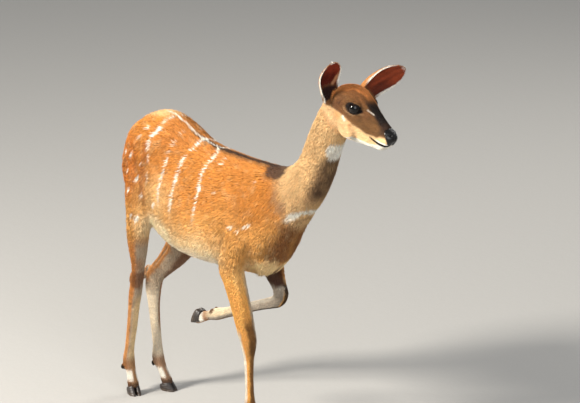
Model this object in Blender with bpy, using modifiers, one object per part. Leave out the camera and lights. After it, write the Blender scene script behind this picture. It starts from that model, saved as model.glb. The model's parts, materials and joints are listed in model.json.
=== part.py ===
"""A female bushbuck, a small African antelope, walking with its left foreleg lifted: one still body, life size."""
import math

import bmesh
import bpy
import numpy as np
from mathutils import Euler, Matrix, Vector

for old in list(bpy.data.objects):
    bpy.data.objects.remove(old, do_unlink=True)

# ---------------------------------------------------------------- sizes
# Metres. +X is the way the animal faces, +Y its left, +Z up, the ground at Z = 0.
CENTRE_X = -0.1453          # the layout below is drawn with the withers near X = 0; this moves it to the middle
CENTRE_Y = 0.0150
RING = 28                   # points round a section


def curve_through(rows, count):
    """Rows of numbers resampled evenly along a smooth curve (centripetal Catmull-Rom) through them."""
    rows = np.array(rows, float)
    step = np.linalg.norm(np.diff(rows[:, :3], axis=0), axis=1) ** 0.5
    knots = np.concatenate([[0.0], np.cumsum(np.maximum(step, 1e-6))])
    ends = [2 * rows[0] - rows[1], 2 * rows[-1] - rows[-2]]
    p = np.vstack([ends[0], rows, ends[1]])
    t = np.concatenate([[knots[0] - (knots[1] - knots[0])], knots, [knots[-1] + knots[-1] - knots[-2]]])
    found = []
    for x in np.linspace(knots[0], knots[-1], count):
        i = int(min(max(np.searchsorted(knots, x, "right") - 1, 0), len(rows) - 2)) + 1
        t0, t1, t2, t3 = t[i - 1], t[i], t[i + 1], t[i + 2]
        m1 = (p[i + 1] - p[i - 1]) / (t2 - t0)
        m2 = (p[i + 2] - p[i]) / (t3 - t1)
        d = t2 - t1
        u = (x - t1) / d
        found.append(
            (2 * u**3 - 3 * u**2 + 1) * p[i] + (u**3 - 2 * u**2 + u) * d * m1
            + (3 * u**2 - 2 * u**3) * p[i + 1] + (u**3 - u**2) * d * m2
        )
    return np.array(found)


def power(value, exponent):
    return np.sign(value) * np.abs(value) ** exponent


def skin_rings(name, rings):
    """A closed mesh through rings of equal length, with a fan at each end."""
    mesh = bmesh.new()
    rows = [[mesh.verts.new(p) for p in ring] for ring in rings]
    n = len(rows[0])
    for a, b in zip(rows, rows[1:]):
        for i in range(n):
            mesh.faces.new((a[i], a[(i + 1) % n], b[(i + 1) % n], b[i]))
    for row, way in ((rows[0], -1), (rows[-1], 1)):
        tip = mesh.verts.new(sum((v.co for v in row), Vector()) / n)
        for i in range(n):
            pair = (row[i], row[(i + 1) % n])
            mesh.faces.new((*pair[::way], tip) if way > 0 else (pair[1], pair[0], tip))
    bmesh.ops.recalc_face_normals(mesh, faces=mesh.faces)
    data = bpy.data.meshes.new(name)
    mesh.to_mesh(data)
    mesh.free()
    return data


def sagittal_loft(name, stations, count, y=0.0):
    """Sections across the middle plane. A station is top x, top z, bottom x, bottom z, half width, the widest
    level as a share of the height from the bottom, and the roundness of the upper and lower halves."""
    rows = [((a + c) / 2, 0.0, (b + d) / 2, a, b, c, d, *rest) for a, b, c, d, *rest in stations]
    rings = []
    for row in curve_through(rows, count):
        _, _, _, tx, tz, bx, bz, w, level, up, down = row
        mid = np.array([bx + (tx - bx) * level, y, bz + (tz - bz) * level])
        ring = []
        for k in range(RING):
            a = 2 * math.pi * (k + 0.5) / RING
            c, s = math.cos(a), math.sin(a)
            e = up if s > 0 else down
            reach = (np.array([tx, y, tz]) - mid) if s > 0 else (mid - np.array([bx, y, bz]))
            ring.append(Vector(mid + reach * power(s, 2 / e) + np.array([0, w * power(c, 2 / e), 0])))
        rings.append(ring)
    return skin_rings(name, rings)


def limb_loft(name, stations, count, out=0.0, points=RING):
    """Sections across a limb. A station is its centre x, y, z, its reach to the front, to the back and to each
    side. out turns the sections about the upright, in degrees, towards the outside of the body."""
    rows = curve_through(stations, count)
    centres = rows[:, :3]
    run = np.gradient(centres, axis=0)
    run /= np.linalg.norm(run, axis=1)[:, None]
    rings = []
    for centre, way, row in zip(centres, run, rows):
        turn = math.radians(out)
        side = np.array([-math.sin(turn), math.cos(turn), 0.0])
        side = side - way * (side @ way)
        side /= np.linalg.norm(side)
        ahead = np.cross(side, way)
        if ahead @ np.array([1.0, 0.0, 0.25]) < 0:
            ahead = -ahead
        f, b, w = row[3:6]
        ring = []
        for k in range(points):
            a = 2 * math.pi * (k + 0.5) / points
            c, s = math.cos(a), math.sin(a)
            ring.append(Vector(centre + ahead * (f if s > 0 else b) * power(s, 0.95) + side * w * power(c, 0.95)))
        rings.append(ring)
    return skin_rings(name, rings)


def lump(name, centre, reach, turn=(0, 0, 0)):
    """An ellipsoid: half lengths along x, y, z, turned by degrees about x, y, z."""
    mesh = bmesh.new()
    bmesh.ops.create_uvsphere(mesh, u_segments=28, v_segments=18, radius=1.0)
    spin = Euler([math.radians(t) for t in turn]).to_matrix().to_4x4()
    bmesh.ops.transform(mesh, matrix=Matrix.Translation(centre) @ spin @ Matrix.Diagonal((*reach, 1.0)), verts=mesh.verts)
    data = bpy.data.meshes.new(name)
    mesh.to_mesh(data)
    mesh.free()
    return data


# ---------------------------------------------------------------- trunk and neck
# top x, top z, bottom x, bottom z, half width, widest level, roundness above, roundness below
TRUNK = [
    (-0.594, 0.672, -0.588, 0.625, 0.020, 0.50, 2.0, 2.0),
    (-0.584, 0.698, -0.576, 0.580, 0.044, 0.50, 2.0, 2.0),
    (-0.560, 0.728, -0.550, 0.525, 0.068, 0.52, 2.1, 2.0),
    (-0.525, 0.751, -0.515, 0.478, 0.087, 0.52, 2.2, 2.0),
    (-0.485, 0.763, -0.477, 0.446, 0.098, 0.50, 2.2, 2.0),
    (-0.445, 0.761, -0.438, 0.426, 0.104, 0.46, 2.1, 2.0),
    (-0.400, 0.746, -0.398, 0.416, 0.109, 0.44, 2.0, 2.1),
    (-0.350, 0.724, -0.350, 0.411, 0.112, 0.42, 1.95, 2.1),
    (-0.290, 0.711, -0.295, 0.409, 0.112, 0.42, 1.9, 2.1),
    (-0.230, 0.707, -0.235, 0.410, 0.108, 0.42, 1.9, 2.0),
    (-0.170, 0.705, -0.175, 0.414, 0.100, 0.44, 1.8, 2.0),
    (-0.110, 0.705, -0.110, 0.417, 0.090, 0.46, 1.8, 2.0),
    (-0.060, 0.706, -0.058, 0.431, 0.080, 0.48, 1.8, 2.0),
    (-0.020, 0.709, -0.010, 0.478, 0.062, 0.50, 1.9, 2.0),
    (0.012, 0.718, 0.032, 0.544, 0.053, 0.50, 2.0, 2.0),
    (0.040, 0.737, 0.079, 0.602, 0.050, 0.50, 2.0, 2.0),
    (0.065, 0.767, 0.119, 0.655, 0.048, 0.50, 2.0, 2.0),
    (0.084, 0.813, 0.149, 0.707, 0.045, 0.50, 2.0, 2.0),
    (0.108, 0.859, 0.167, 0.753, 0.042, 0.50, 2.0, 2.0),
    (0.134, 0.901, 0.188, 0.794, 0.040, 0.50, 2.0, 2.0),
    (0.167, 0.929, 0.206, 0.826, 0.038, 0.50, 2.0, 2.0),
    (0.205, 0.932, 0.232, 0.850, 0.030, 0.50, 2.0, 2.0),
]

# ---------------------------------------------------------------- head
HEAD = [
    (0.156, 0.905, 0.180, 0.865, 0.014, 0.50, 2.0, 2.0),
    (0.168, 0.928, 0.186, 0.838, 0.033, 0.58, 2.0, 2.0),
    (0.192, 0.946, 0.204, 0.820, 0.042, 0.62, 2.2, 1.8),
    (0.220, 0.953, 0.222, 0.8155, 0.046, 0.62, 2.3, 1.7),
    (0.246, 0.952, 0.240, 0.8150, 0.0445, 0.60, 2.4, 1.6),
    (0.270, 0.940, 0.258, 0.8150, 0.0400, 0.58, 2.5, 1.6),
    (0.292, 0.925, 0.276, 0.8150, 0.0350, 0.56, 2.4, 1.6),
    (0.310, 0.909, 0.292, 0.8145, 0.030, 0.55, 2.3, 1.7),
    (0.327, 0.895, 0.306, 0.8140, 0.0255, 0.54, 2.3, 1.8),
    (0.343, 0.883, 0.319, 0.8135, 0.0235, 0.52, 2.3, 1.9),
    (0.357, 0.873, 0.331, 0.8135, 0.0230, 0.52, 2.3, 2.0),
    (0.369, 0.864, 0.341, 0.816, 0.0215, 0.55, 2.3, 2.0),
    (0.377, 0.855, 0.351, 0.821, 0.0175, 0.58, 2.2, 2.0),
    (0.379, 0.846, 0.362, 0.830, 0.0090, 0.55, 2.0, 2.0),
]
EYE_X, EYE_Y, EYE_Z, EYE_R = 0.2640, 0.0290, 0.9080, 0.0158

# the tables draw the head straight; it is turned a little to the animal's left about the poll
POLL = (0.190, 0.0, 0.900)
TURN, TURN_LENGTH, TURN_DROP = math.radians(9.0), 0.87, 0.052


def turn_share(points):
    """0 at the base of the neck, 1 on the head."""
    t = np.clip(((points[:, 0] - 0.10) * 0.45 + (points[:, 2] - 0.76) * 0.89) / 0.13, 0.0, 1.0)
    return t * t * (3 - 2 * t)


def turned(points):
    """Places of the straight tables moved to where the turned head has them."""
    points = np.array(points, float)
    share = turn_share(points)[:, None]
    off = points - np.array(POLL)
    along = off[:, 0] * TURN_LENGTH
    there = np.stack(
        [
            along * math.cos(TURN) - off[:, 1] * math.sin(TURN),
            along * math.sin(TURN) + off[:, 1] * math.cos(TURN),
            off[:, 2] - off[:, 0] * TURN_DROP,
        ],
        axis=1,
    ) + np.array(POLL)
    return points + share * (there - points)


def eye_place(side):
    """The centre of an eye; side is +1 for the animal's left."""
    return turned([(EYE_X, side * EYE_Y, EYE_Z)])[0]

# ---------------------------------------------------------------- limbs
# centre x, y, z, reach to the front, to the back, to each side
FORE_R = [
    (-0.095, -0.066, 0.545, 0.045, 0.055, 0.028),
    (-0.118, -0.076, 0.490, 0.042, 0.048, 0.031),
    (-0.130, -0.077, 0.445, 0.036, 0.040, 0.030),
    (-0.125, -0.070, 0.405, 0.031, 0.034, 0.027),
    (-0.118, -0.061, 0.355, 0.029, 0.029, 0.0250),
    (-0.113, -0.054, 0.315, 0.027, 0.026, 0.0245),
    (-0.110, -0.048, 0.282, 0.024, 0.024, 0.0230),
    (-0.107, -0.044, 0.255, 0.023, 0.020, 0.0210),
    (-0.108, -0.041, 0.232, 0.0185, 0.0175, 0.0175),
    (-0.111, -0.038, 0.205, 0.0135, 0.0140, 0.0130),
    (-0.116, -0.033, 0.150, 0.0110, 0.0125, 0.0110),
    (-0.119, -0.029, 0.105, 0.0115, 0.0130, 0.0120),
    (-0.120, -0.027, 0.078, 0.0145, 0.0165, 0.0155),
    (-0.108, -0.026, 0.053, 0.0112, 0.0122, 0.0130),
    (-0.097, -0.025, 0.031, 0.0128, 0.0145, 0.0150),
    (-0.090, -0.025, 0.014, 0.0128, 0.0145, 0.0150),
]
FORE_L = [
    (-0.112, 0.064, 0.560, 0.045, 0.050, 0.028),
    (-0.142, 0.074, 0.515, 0.040, 0.045, 0.031),
    (-0.160, 0.078, 0.478, 0.036, 0.046, 0.032),
    (-0.161, 0.078, 0.440, 0.032, 0.043, 0.029),
    (-0.151, 0.077, 0.405, 0.027, 0.036, 0.0240),
    (-0.132, 0.075, 0.372, 0.0200, 0.0240, 0.0190),
    (-0.120, 0.073, 0.350, 0.0185, 0.0175, 0.0180),
]
FORE_L_LOW = [
    (-0.121, 0.074, 0.368, 0.0155, 0.0180, 0.0165),
    (-0.117, 0.072, 0.348, 0.0180, 0.0175, 0.0175),
    (-0.125, 0.067, 0.333, 0.0185, 0.0165, 0.0175),
    (-0.146, 0.059, 0.323, 0.0155, 0.0145, 0.0152),
    (-0.172, 0.046, 0.3140, 0.0138, 0.0135, 0.0130),
    (-0.212, 0.025, 0.2990, 0.0135, 0.0135, 0.0122),
    (-0.252, 0.004, 0.2840, 0.0138, 0.0140, 0.0128),
    (-0.274, -0.006, 0.2765, 0.0150, 0.0165, 0.0152),
    (-0.297, -0.012, 0.2695, 0.0116, 0.0126, 0.0130),
    (-0.320, -0.016, 0.2610, 0.0128, 0.0145, 0.0150),
    (-0.339, -0.019, 0.2525, 0.0128, 0.0145, 0.0150),
]
HIND_R = [
    (-0.505, -0.048, 0.670, 0.050, 0.045, 0.036),
    (-0.510, -0.058, 0.610, 0.065, 0.055, 0.036),
    (-0.508, -0.066, 0.550, 0.062, 0.058, 0.036),
    (-0.503, -0.070, 0.500, 0.050, 0.052, 0.034),
    (-0.510, -0.070, 0.450, 0.036, 0.042, 0.029),
    (-0.524, -0.060, 0.400, 0.027, 0.031, 0.0245),
    (-0.538, -0.050, 0.352, 0.0200, 0.0225, 0.0190),
    (-0.550, -0.042, 0.316, 0.0170, 0.0230, 0.0165),
    (-0.561, -0.038, 0.288, 0.0180, 0.0240, 0.0170),
    (-0.570, -0.036, 0.262, 0.0170, 0.0190, 0.0165),
    (-0.578, -0.034, 0.228, 0.0140, 0.0150, 0.0150),
    (-0.588, -0.032, 0.180, 0.0130, 0.0140, 0.0140),
    (-0.601, -0.031, 0.118, 0.0120, 0.0130, 0.0125),
    (-0.606, -0.030, 0.080, 0.0150, 0.0170, 0.0160),
    (-0.594, -0.032, 0.054, 0.0114, 0.0122, 0.0130),
    (-0.584, -0.035, 0.031, 0.0128, 0.0145, 0.0150),
    (-0.577, -0.037, 0.014, 0.0128, 0.0145, 0.0150),
]
HIND_L = [
    (-0.500, 0.048, 0.670, 0.050, 0.045, 0.036),
    (-0.498, 0.060, 0.610, 0.065, 0.055, 0.038),
    (-0.490, 0.070, 0.550, 0.072, 0.066, 0.038),
    (-0.482, 0.074, 0.490, 0.066, 0.058, 0.034),
    (-0.498, 0.072, 0.430, 0.056, 0.046, 0.029),
    (-0.530, 0.064, 0.378, 0.046, 0.032, 0.0245),
    (-0.568, 0.056, 0.335, 0.0360, 0.0225, 0.0190),
    (-0.595, 0.051, 0.303, 0.0300, 0.0230, 0.0170),
    (-0.602, 0.049, 0.276, 0.0260, 0.0240, 0.0170),
    (-0.602, 0.048, 0.248, 0.0215, 0.0195, 0.0160),
    (-0.597, 0.046, 0.215, 0.0165, 0.0155, 0.0140),
    (-0.590, 0.045, 0.170, 0.0130, 0.0140, 0.0130),
    (-0.582, 0.045, 0.115, 0.0120, 0.0135, 0.0122),
    (-0.579, 0.045, 0.080, 0.0150, 0.0170, 0.0160),
    (-0.565, 0.047, 0.054, 0.0114, 0.0122, 0.0130),
    (-0.554, 0.050, 0.031, 0.0128, 0.0145, 0.0150),
    (-0.547, 0.052, 0.014, 0.0128, 0.0145, 0.0150),
]
TAIL = [
    (-0.560, 0.0, 0.708, 0.016, 0.016, 0.020),
    (-0.583, 0.0, 0.699, 0.015, 0.015, 0.020),
    (-0.600, 0.0, 0.674, 0.014, 0.014, 0.022),
    (-0.6055, 0.0, 0.630, 0.014, 0.014, 0.024),
    (-0.6065, 0.0, 0.575, 0.014, 0.014, 0.023),
    (-0.605, 0.0, 0.530, 0.010, 0.010, 0.016),
    (-0.603, 0.0, 0.500, 0.003, 0.003, 0.004),
]


# x, y, z and forward tilt of each dew claw, behind the fetlocks
DEW_CLAWS = [
    (-0.132, -0.035, 0.063, -25), (-0.132, -0.017, 0.063, -25),
    (-0.617, -0.043, 0.065, -25), (-0.619, -0.025, 0.065, -25),
    (-0.592, 0.037, 0.065, -25), (-0.590, 0.055, 0.065, -25),
    (-0.281, -0.015, 0.2870, -80), (-0.284, 0.001, 0.2880, -80),
]

# coronet centre x, y and heading in degrees of each standing foot; the lifted foot has a place and a direction
SOLE_DROP = 0.0202
STANDING = {
    "foreleg_right": (-0.0955, -0.025, -6.0),
    "hindleg_right": (-0.5825, -0.0355, -16.0),
    "hindleg_left": (-0.5525, 0.0505, 16.0),
}
LIFTED = ("foreleg_left", (-0.3200, -0.0160, 0.2620), (-0.98, -0.20, -0.25), (0.60, 0.0, -0.80))
# back and front x, back and front height, outer width: the claw from the coronet to the ground
CLAW = [
    (-0.0150, 0.0128, -0.0053, 0.0035, 0.0148),
    (-0.0157, 0.0160, -0.0088, -0.0005, 0.0155),
    (-0.0157, 0.0201, -0.0128, -0.0056, 0.0158),
    (-0.0148, 0.0243, -0.0165, -0.0113, 0.0158),
    (-0.0130, 0.0278, -0.0194, -0.0171, 0.0155),
    (-0.0113, 0.0294, -0.0202, -0.0202, 0.0150),
]
CLEFT = 0.0007

# root, tip, the way the hollow faces and the width, of each ear
EARS = {
    "ear_right": ((0.1885, -0.0350, 0.9095), (0.2335, -0.0655, 1.0155), (0.97, -0.08, -0.36), 1.00),
    "ear_left": ((0.2060, 0.0390, 0.8985), (0.2590, 0.1365, 0.9785), (0.86, -0.30, -0.46), 1.18),
}
# share of the length, half width, depth of the back, depth of the hollow
EAR = [
    (0.00, 0.0180, 0.0160, -0.0120),
    (0.12, 0.0196, 0.0200, -0.0010),
    (0.22, 0.0222, 0.0234, 0.0080),
    (0.32, 0.0248, 0.0242, 0.0130),
    (0.44, 0.0280, 0.0226, 0.0145),
    (0.57, 0.0302, 0.0180, 0.0125),
    (0.70, 0.0300, 0.0132, 0.0092),
    (0.82, 0.0255, 0.0094, 0.0060),
    (0.92, 0.0175, 0.0060, 0.0030),
    (0.98, 0.0090, 0.0032, 0.0008),
    (1.00, 0.0040, 0.0018, 0.0000),
]
EAR_RIM = 0.0026


def foot_frames():
    """The matrix of each foot: origin at the coronet centre, x to the toe, y to the animal's left, z up."""
    frames = {}
    for name, (x, y, heading) in STANDING.items():
        frames[name] = Matrix.Translation((x, y, SOLE_DROP)) @ Matrix.Rotation(math.radians(heading), 4, "Z")
    name, place, way, run = LIFTED
    way = Vector(way).normalized()
    side = way.cross(Vector((0, 0, 1))).normalized()
    run, left = Vector(run).normalized(), Vector((0, 1, 0))
    here = Matrix((run, left, run.cross(left))).transposed()
    there = Matrix((way, side, way.cross(side))).transposed()
    frames[name] = Matrix.Translation(place) @ (there @ here.transposed()).to_4x4()
    return frames


def claw_form(name, frame, side, count=12, points=20, extra=0.0):
    """One half of a cloven hoof; side is +1 for the animal's left claw of the foot."""
    rows = np.array(CLAW)
    rings = []
    for t in np.linspace(0, len(rows) - 1, count):
        i = min(int(t), len(rows) - 2)
        back, front, low, high, wide = rows[i] * (1 - (t - i)) + rows[i + 1] * (t - i)
        ring = []
        for k in range(points):
            a = 2 * math.pi * k / points
            c, s = math.cos(a), math.sin(a)
            x = (back + front) / 2 + (front - back) / 2 * power(c, 0.85)
            reach = wide * (1.0 - 0.30 * max(0.0, c) ** 2.2)
            if s > 0:
                y = CLEFT + 0.3 * reach + (reach * 0.7) * power(s, 0.75)
            else:
                y = CLEFT + 0.3 * reach - 0.3 * reach * power(-s, 0.45)
            y += 0.0022 * max(0.0, c) ** 2
            z = low + (high - low) * (x - back) / (front - back)
            ring.append(frame @ Vector((x, side * y, z)))
        rings.append(ring)
    return skin_rings(name, rings)


def ear_form(name, root, tip, hollow, width, count, points):
    """A leaf rolled into a cup, solid at its root."""
    root, tip = np.array(root), np.array(tip)
    run = tip - root
    run_way = run / np.linalg.norm(run)
    hollow = np.array(hollow)
    hollow = hollow - run_way * (hollow @ run_way)
    hollow /= np.linalg.norm(hollow)
    across = np.cross(run_way, hollow)
    rows = curve_through([(t, 0.0, 0.0, *rest) for t, *rest in EAR], count)
    rings = []
    for t, _, _, wide, back, inner in rows:
        wide, back = wide * width, back * width ** 1.6
        mid = root + run * t - hollow * 0.010 * math.sin(math.pi * min(max(t, 0), 1)) * 0.6
        ring = []
        for k in range(points):
            a = math.pi * (k + 0.5) / points
            ring.append(Vector(mid - across * wide * math.cos(a) - hollow * back * math.sin(a) ** 0.9))
        for k in range(points):
            a = math.pi * (points - k - 0.5) / points
            ring.append(Vector(mid - across * (wide - EAR_RIM * 0.3) * math.cos(a) + hollow * (EAR_RIM - inner * math.sin(a) ** 0.9)))
        rings.append(ring)
    return skin_rings(name, rings)


def flesh_pieces():
    """Every mesh whose union is the animal without eyes, ears, tail and hoofs."""
    made = [
        sagittal_loft("trunk_form", TRUNK, 60),
        sagittal_loft("head_form", HEAD, 46),
        limb_loft("fore_right_form", FORE_R, 60, -6),
        limb_loft("fore_left_form", FORE_L, 30, 0),
        limb_loft("fore_left_low_form", FORE_L_LOW, 44, 28),
        limb_loft("hind_right_form", HIND_R, 60, -16),
        limb_loft("hind_left_form", HIND_L, 60, 16),
    ]
    for s in (-1, 1):
        # shoulder blade, upper arm and the muscle behind it, croup, thigh and buttock
        made.append(lump("blade", (-0.088, s * 0.056, 0.600), (0.052, 0.030, 0.098), (s * 12, 14, 0)))
        made.append(lump("upper_arm", (-0.076, s * 0.054, 0.523), (0.052, 0.029, 0.045), (0, 30, 0)))
        made.append(lump("triceps", (-0.122, s * 0.068, 0.520), (0.050, 0.032, 0.062), (0, -20, 0)))
        made.append(lump("croup", (-0.490, s * 0.048, 0.668), (0.080, 0.047, 0.080), (s * 12, 8, 0)))
        made.append(lump("buttock", (-0.538, s * 0.046, 0.618), (0.048, 0.040, 0.090), (0, 4, 0)))
        # cheek, brow and cheek bone
        made.append(lump("cheek", (0.232, s * 0.026, 0.862), (0.034, 0.016, 0.034), (0, 20, 0)))
        made.append(lump("brow", (0.257, s * 0.0290, 0.9225), (0.026, 0.0135, 0.0115), (0, 30, s * -16)))
        made.append(lump("cheek_bone", (0.265, s * 0.0320, 0.893), (0.030, 0.0085, 0.0075), (0, 14, s * -18)))
    # dew claws, hock points, hanging brisket
    for x, y, z, tilt in DEW_CLAWS:
        made.append(lump("dew_claw", (x, y, z), (0.0055, 0.0048, 0.0085), (0, tilt, 0)))
    made.append(lump("hock_right", (-0.580, -0.034, 0.312), (0.0105, 0.0095, 0.026), (0, 22, 0)))
    made.append(lump("hock_left", (-0.627, 0.046, 0.301), (0.0105, 0.0095, 0.028), (0, 30, 0)))
    made.append(lump("brisket", (-0.044, 0.0, 0.508), (0.052, 0.034, 0.050), (0, 42, 0)))
    return made


# ---------------------------------------------------------------- smoothing
# centre x, y, z and reach x, y, z of the places smoothed most: shoulders, chest, belly, haunches and neck
SOFT = [
    ((-0.080, 0.0, 0.590), (0.150, 0.140, 0.190)),
    ((-0.300, 0.0, 0.570), (0.230, 0.160, 0.200)),
    ((-0.500, 0.0, 0.620), (0.150, 0.150, 0.200)),
    ((0.060, 0.0, 0.690), (0.120, 0.100, 0.150)),
]


def softness(points):
    """From 0 on head and lower legs to 1 in the middle of trunk and neck."""
    best = np.zeros(len(points))
    for centre, reach in SOFT:
        d = np.linalg.norm((points - np.array(centre)) / np.array(reach), axis=1)
        best = np.maximum(best, np.clip((1.15 - d) / 0.40, 0.0, 1.0))
    return best * best * (3 - 2 * best)


def as_object(name, data, folder):
    thing = bpy.data.objects.new(name, data)
    folder.objects.link(thing)
    return thing


def settled(thing):
    """Replace an object's mesh with the result of its modifiers."""
    bpy.context.view_layer.update()
    data = bpy.data.meshes.new_from_object(thing.evaluated_get(bpy.context.evaluated_depsgraph_get()))
    thing.modifiers.clear()
    old = thing.data
    thing.data = data
    bpy.data.meshes.remove(old)
    return thing


def points_of(data):
    flat = np.empty(len(data.vertices) * 3)
    data.vertices.foreach_get("co", flat)
    return flat.reshape(-1, 3)


def flesh_body(name, folder, voxel, fine, broad):
    """The union of the pieces as one closed surface, smoothed over fine metres everywhere and broad metres
    in the soft places."""
    mesh = bmesh.new()
    for piece in flesh_pieces():
        mesh.from_mesh(piece)
        bpy.data.meshes.remove(piece)
    data = bpy.data.meshes.new(name)
    mesh.to_mesh(data)
    mesh.free()
    data.vertices.foreach_set("co", turned(points_of(data)).ravel())
    body = as_object(name, data, folder)
    grid = body.modifiers.new("grid", "REMESH")
    grid.mode = "VOXEL"
    grid.voxel_size = voxel
    settled(body)
    group = body.vertex_groups.new(name="soft")
    weight = softness(points_of(body.data))
    levels = np.round(weight * 20).astype(int)
    for level in range(1, 21):
        chosen = np.flatnonzero(levels == level)
        if len(chosen):
            group.add([int(i) for i in chosen], level / 20, "REPLACE")
    for label, radius, over in (("fine", fine, ""), ("broad", broad, "soft")):
        even = body.modifiers.new(label, "SMOOTH")
        even.factor = 0.5
        even.iterations = max(1, round(1.6 * (radius / voxel) ** 2))
        even.vertex_group = over
    settled(body)
    body.vertex_groups.clear()
    return body


# ---------------------------------------------------------------- dividing into parts
GAP = 0.0005
VOXEL = 0.0042
BODY_FACES = 4600

# name, centre, size along its own axes before turning, turn in degrees: thin slabs that part the body
SLABS = [
    ("part_head", (0.172, 0.0, 0.866), (0.150, 0.140, GAP), (0, 52, 0)),
    ("part_neck", (0.014, 0.0, 0.625), (0.330, 0.240, GAP), (0, 66, 0)),
    ("part_elbow_right", (-0.128, -0.080, 0.405), (0.110, 0.100, GAP), (0, 0, 0)),
    ("part_elbow_left", (-0.150, 0.082, 0.405), (0.130, 0.090, GAP), (0, 0, 0)),
    ("part_knee_right", (-0.114, -0.046, 0.268), (0.080, 0.070, GAP), (0, 0, 0)),
    ("part_knee_left", (-0.120, 0.076, 0.357), (0.080, 0.056, GAP), (0, -12, 0)),
    ("part_stifle_right", (-0.525, -0.080, 0.418), (0.140, 0.110, GAP), (0, 0, 0)),
    ("part_stifle_left", (-0.505, 0.080, 0.413), (0.150, 0.110, GAP), (0, 0, 0)),
    ("part_hock_right", (-0.570, -0.036, 0.262), (0.090, 0.064, GAP), (0, 0, 0)),
    ("part_hock_left", (-0.611, 0.048, 0.252), (0.090, 0.064, GAP), (0, 0, 0)),
]
# a point inside each part the body is divided into
PARTS = {
    "head": (0.260, 0.0, 0.880),
    "neck": (0.080, 0.0, 0.740),
    "trunk": (-0.300, 0.0, 0.580),
    "foreleg_right_upper": (-0.123, -0.060, 0.340),
    "foreleg_right_lower": (-0.116, -0.033, 0.150),
    "foreleg_left_upper": (-0.140, 0.077, 0.385),
    "foreleg_left_lower": (-0.200, 0.032, 0.310),
    "hindleg_right_upper": (-0.538, -0.050, 0.345),
    "hindleg_right_lower": (-0.592, -0.031, 0.150),
    "hindleg_left_upper": (-0.550, 0.060, 0.355),
    "hindleg_left_lower": (-0.586, 0.045, 0.140),
}
COLOURS = {
    "rufous_coat": (0.42, 0.175, 0.055),
    "pale_coat": (0.52, 0.36, 0.22),
    "inner_ear": (0.30, 0.13, 0.08),
    "eye": (0.012, 0.009, 0.008),
    "hoof": (0.028, 0.022, 0.018),
}


def material(name, rough, coat=0.0):
    made = bpy.data.materials.new(name)
    made.use_nodes = True
    shader = made.node_tree.nodes["Principled BSDF"]
    shader.inputs["Base Color"].default_value = (*COLOURS[name], 1.0)
    shader.inputs["Roughness"].default_value = rough
    shader.inputs["Coat Weight"].default_value = coat
    return made


def slab(name, centre, size, turn, folder):
    mesh = bmesh.new()
    bmesh.ops.create_cube(mesh, size=1.0)
    spin = Euler([math.radians(t) for t in turn]).to_matrix().to_4x4()
    bmesh.ops.transform(mesh, matrix=Matrix.Translation(centre) @ spin @ Matrix.Diagonal((*size, 1.0)), verts=mesh.verts)
    data = bpy.data.meshes.new(name)
    mesh.to_mesh(data)
    mesh.free()
    return as_object(name, data, folder)


def cut(thing, tool):
    step = thing.modifiers.new(tool.name, "BOOLEAN")
    step.operation = "DIFFERENCE"
    step.solver = "EXACT"
    step.object = tool
    return settled(thing)


def foot_tool(name, frame, folder):
    """A block whose top is the coronet plane, less the gap, to take away what is below it."""
    back, front, low, high, _ = CLAW[0]
    lean = math.atan2(high - low, front - back)
    block = slab(name, (0, 0, 0), (0.075, 0.060, 0.050), (0, 0, 0), folder)
    place = Matrix.Translation(((back + front) / 2, 0, (low + high) / 2)) @ Matrix.Rotation(-lean, 4, "Y")
    block.data.transform(frame @ place @ Matrix.Translation((0.004, 0, GAP - 0.025)))
    return block


def islands(data):
    """Closed pieces of a mesh, largest first, each as its own mesh."""
    mesh = bmesh.new()
    mesh.from_mesh(data)
    mesh.verts.ensure_lookup_table()
    seen = np.full(len(mesh.verts), -1)
    count = 0
    for start in mesh.verts:
        if seen[start.index] >= 0:
            continue
        todo = [start]
        seen[start.index] = count
        while todo:
            for edge in todo.pop().link_edges:
                for vert in edge.verts:
                    if seen[vert.index] < 0:
                        seen[vert.index] = count
                        todo.append(vert)
        count += 1
    found = []
    for i in range(count):
        one = mesh.copy()
        one.verts.ensure_lookup_table()
        bmesh.ops.delete(one, geom=[v for v in one.verts if seen[v.index] != i], context="VERTS")
        piece = bpy.data.meshes.new("piece")
        one.to_mesh(piece)
        one.free()
        found.append(piece)
    mesh.free()
    return sorted(found, key=lambda m: -len(m.vertices))


def tidy(data):
    """Merge the slivers a cut leaves and make every face a triangle."""
    mesh = bmesh.new()
    mesh.from_mesh(data)
    bmesh.ops.remove_doubles(mesh, verts=mesh.verts, dist=0.00008)
    bmesh.ops.dissolve_degenerate(mesh, edges=mesh.edges, dist=0.00005)
    bmesh.ops.triangulate(mesh, faces=mesh.faces)
    bmesh.ops.recalc_face_normals(mesh, faces=mesh.faces)
    mesh.to_mesh(data)
    mesh.free()


animal = bpy.data.collections.new("bushbuck")
tools = bpy.data.collections.new("cutters")
for folder in (animal, tools):
    bpy.context.scene.collection.children.link(folder)
skin = {
    "rufous_coat": material("rufous_coat", 0.75),
    "pale_coat": material("pale_coat", 0.75),
    "inner_ear": material("inner_ear", 0.7),
    "eye": material("eye", 0.08, 1.0),
    "hoof": material("hoof", 0.35),
}

body = flesh_body("body", tools, VOXEL, 0.0040, 0.0150)
thin = body.modifiers.new("thin", "DECIMATE")
thin.ratio = BODY_FACES / (2.0 * len(body.data.polygons))
thin.use_collapse_triangulate = True
settled(body)

# the body grown by the gap, to shape the roots of the ears and tail
grown = as_object("grown_body", body.data.copy(), tools)
swell = grown.modifiers.new("swell", "DISPLACE")
swell.strength = GAP
swell.mid_level = 0.0
settled(grown)

made = {}
for name, ear in EARS.items():
    made[name] = cut(as_object(name, ear_form(name, *ear, 13, 8), animal), grown)
made["tail"] = cut(as_object("tail", limb_loft("tail", TAIL, 13, 0.0, 16), animal), grown)
for name in made:
    pieces = islands(made[name].data)
    made[name].data = pieces[0]

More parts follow.
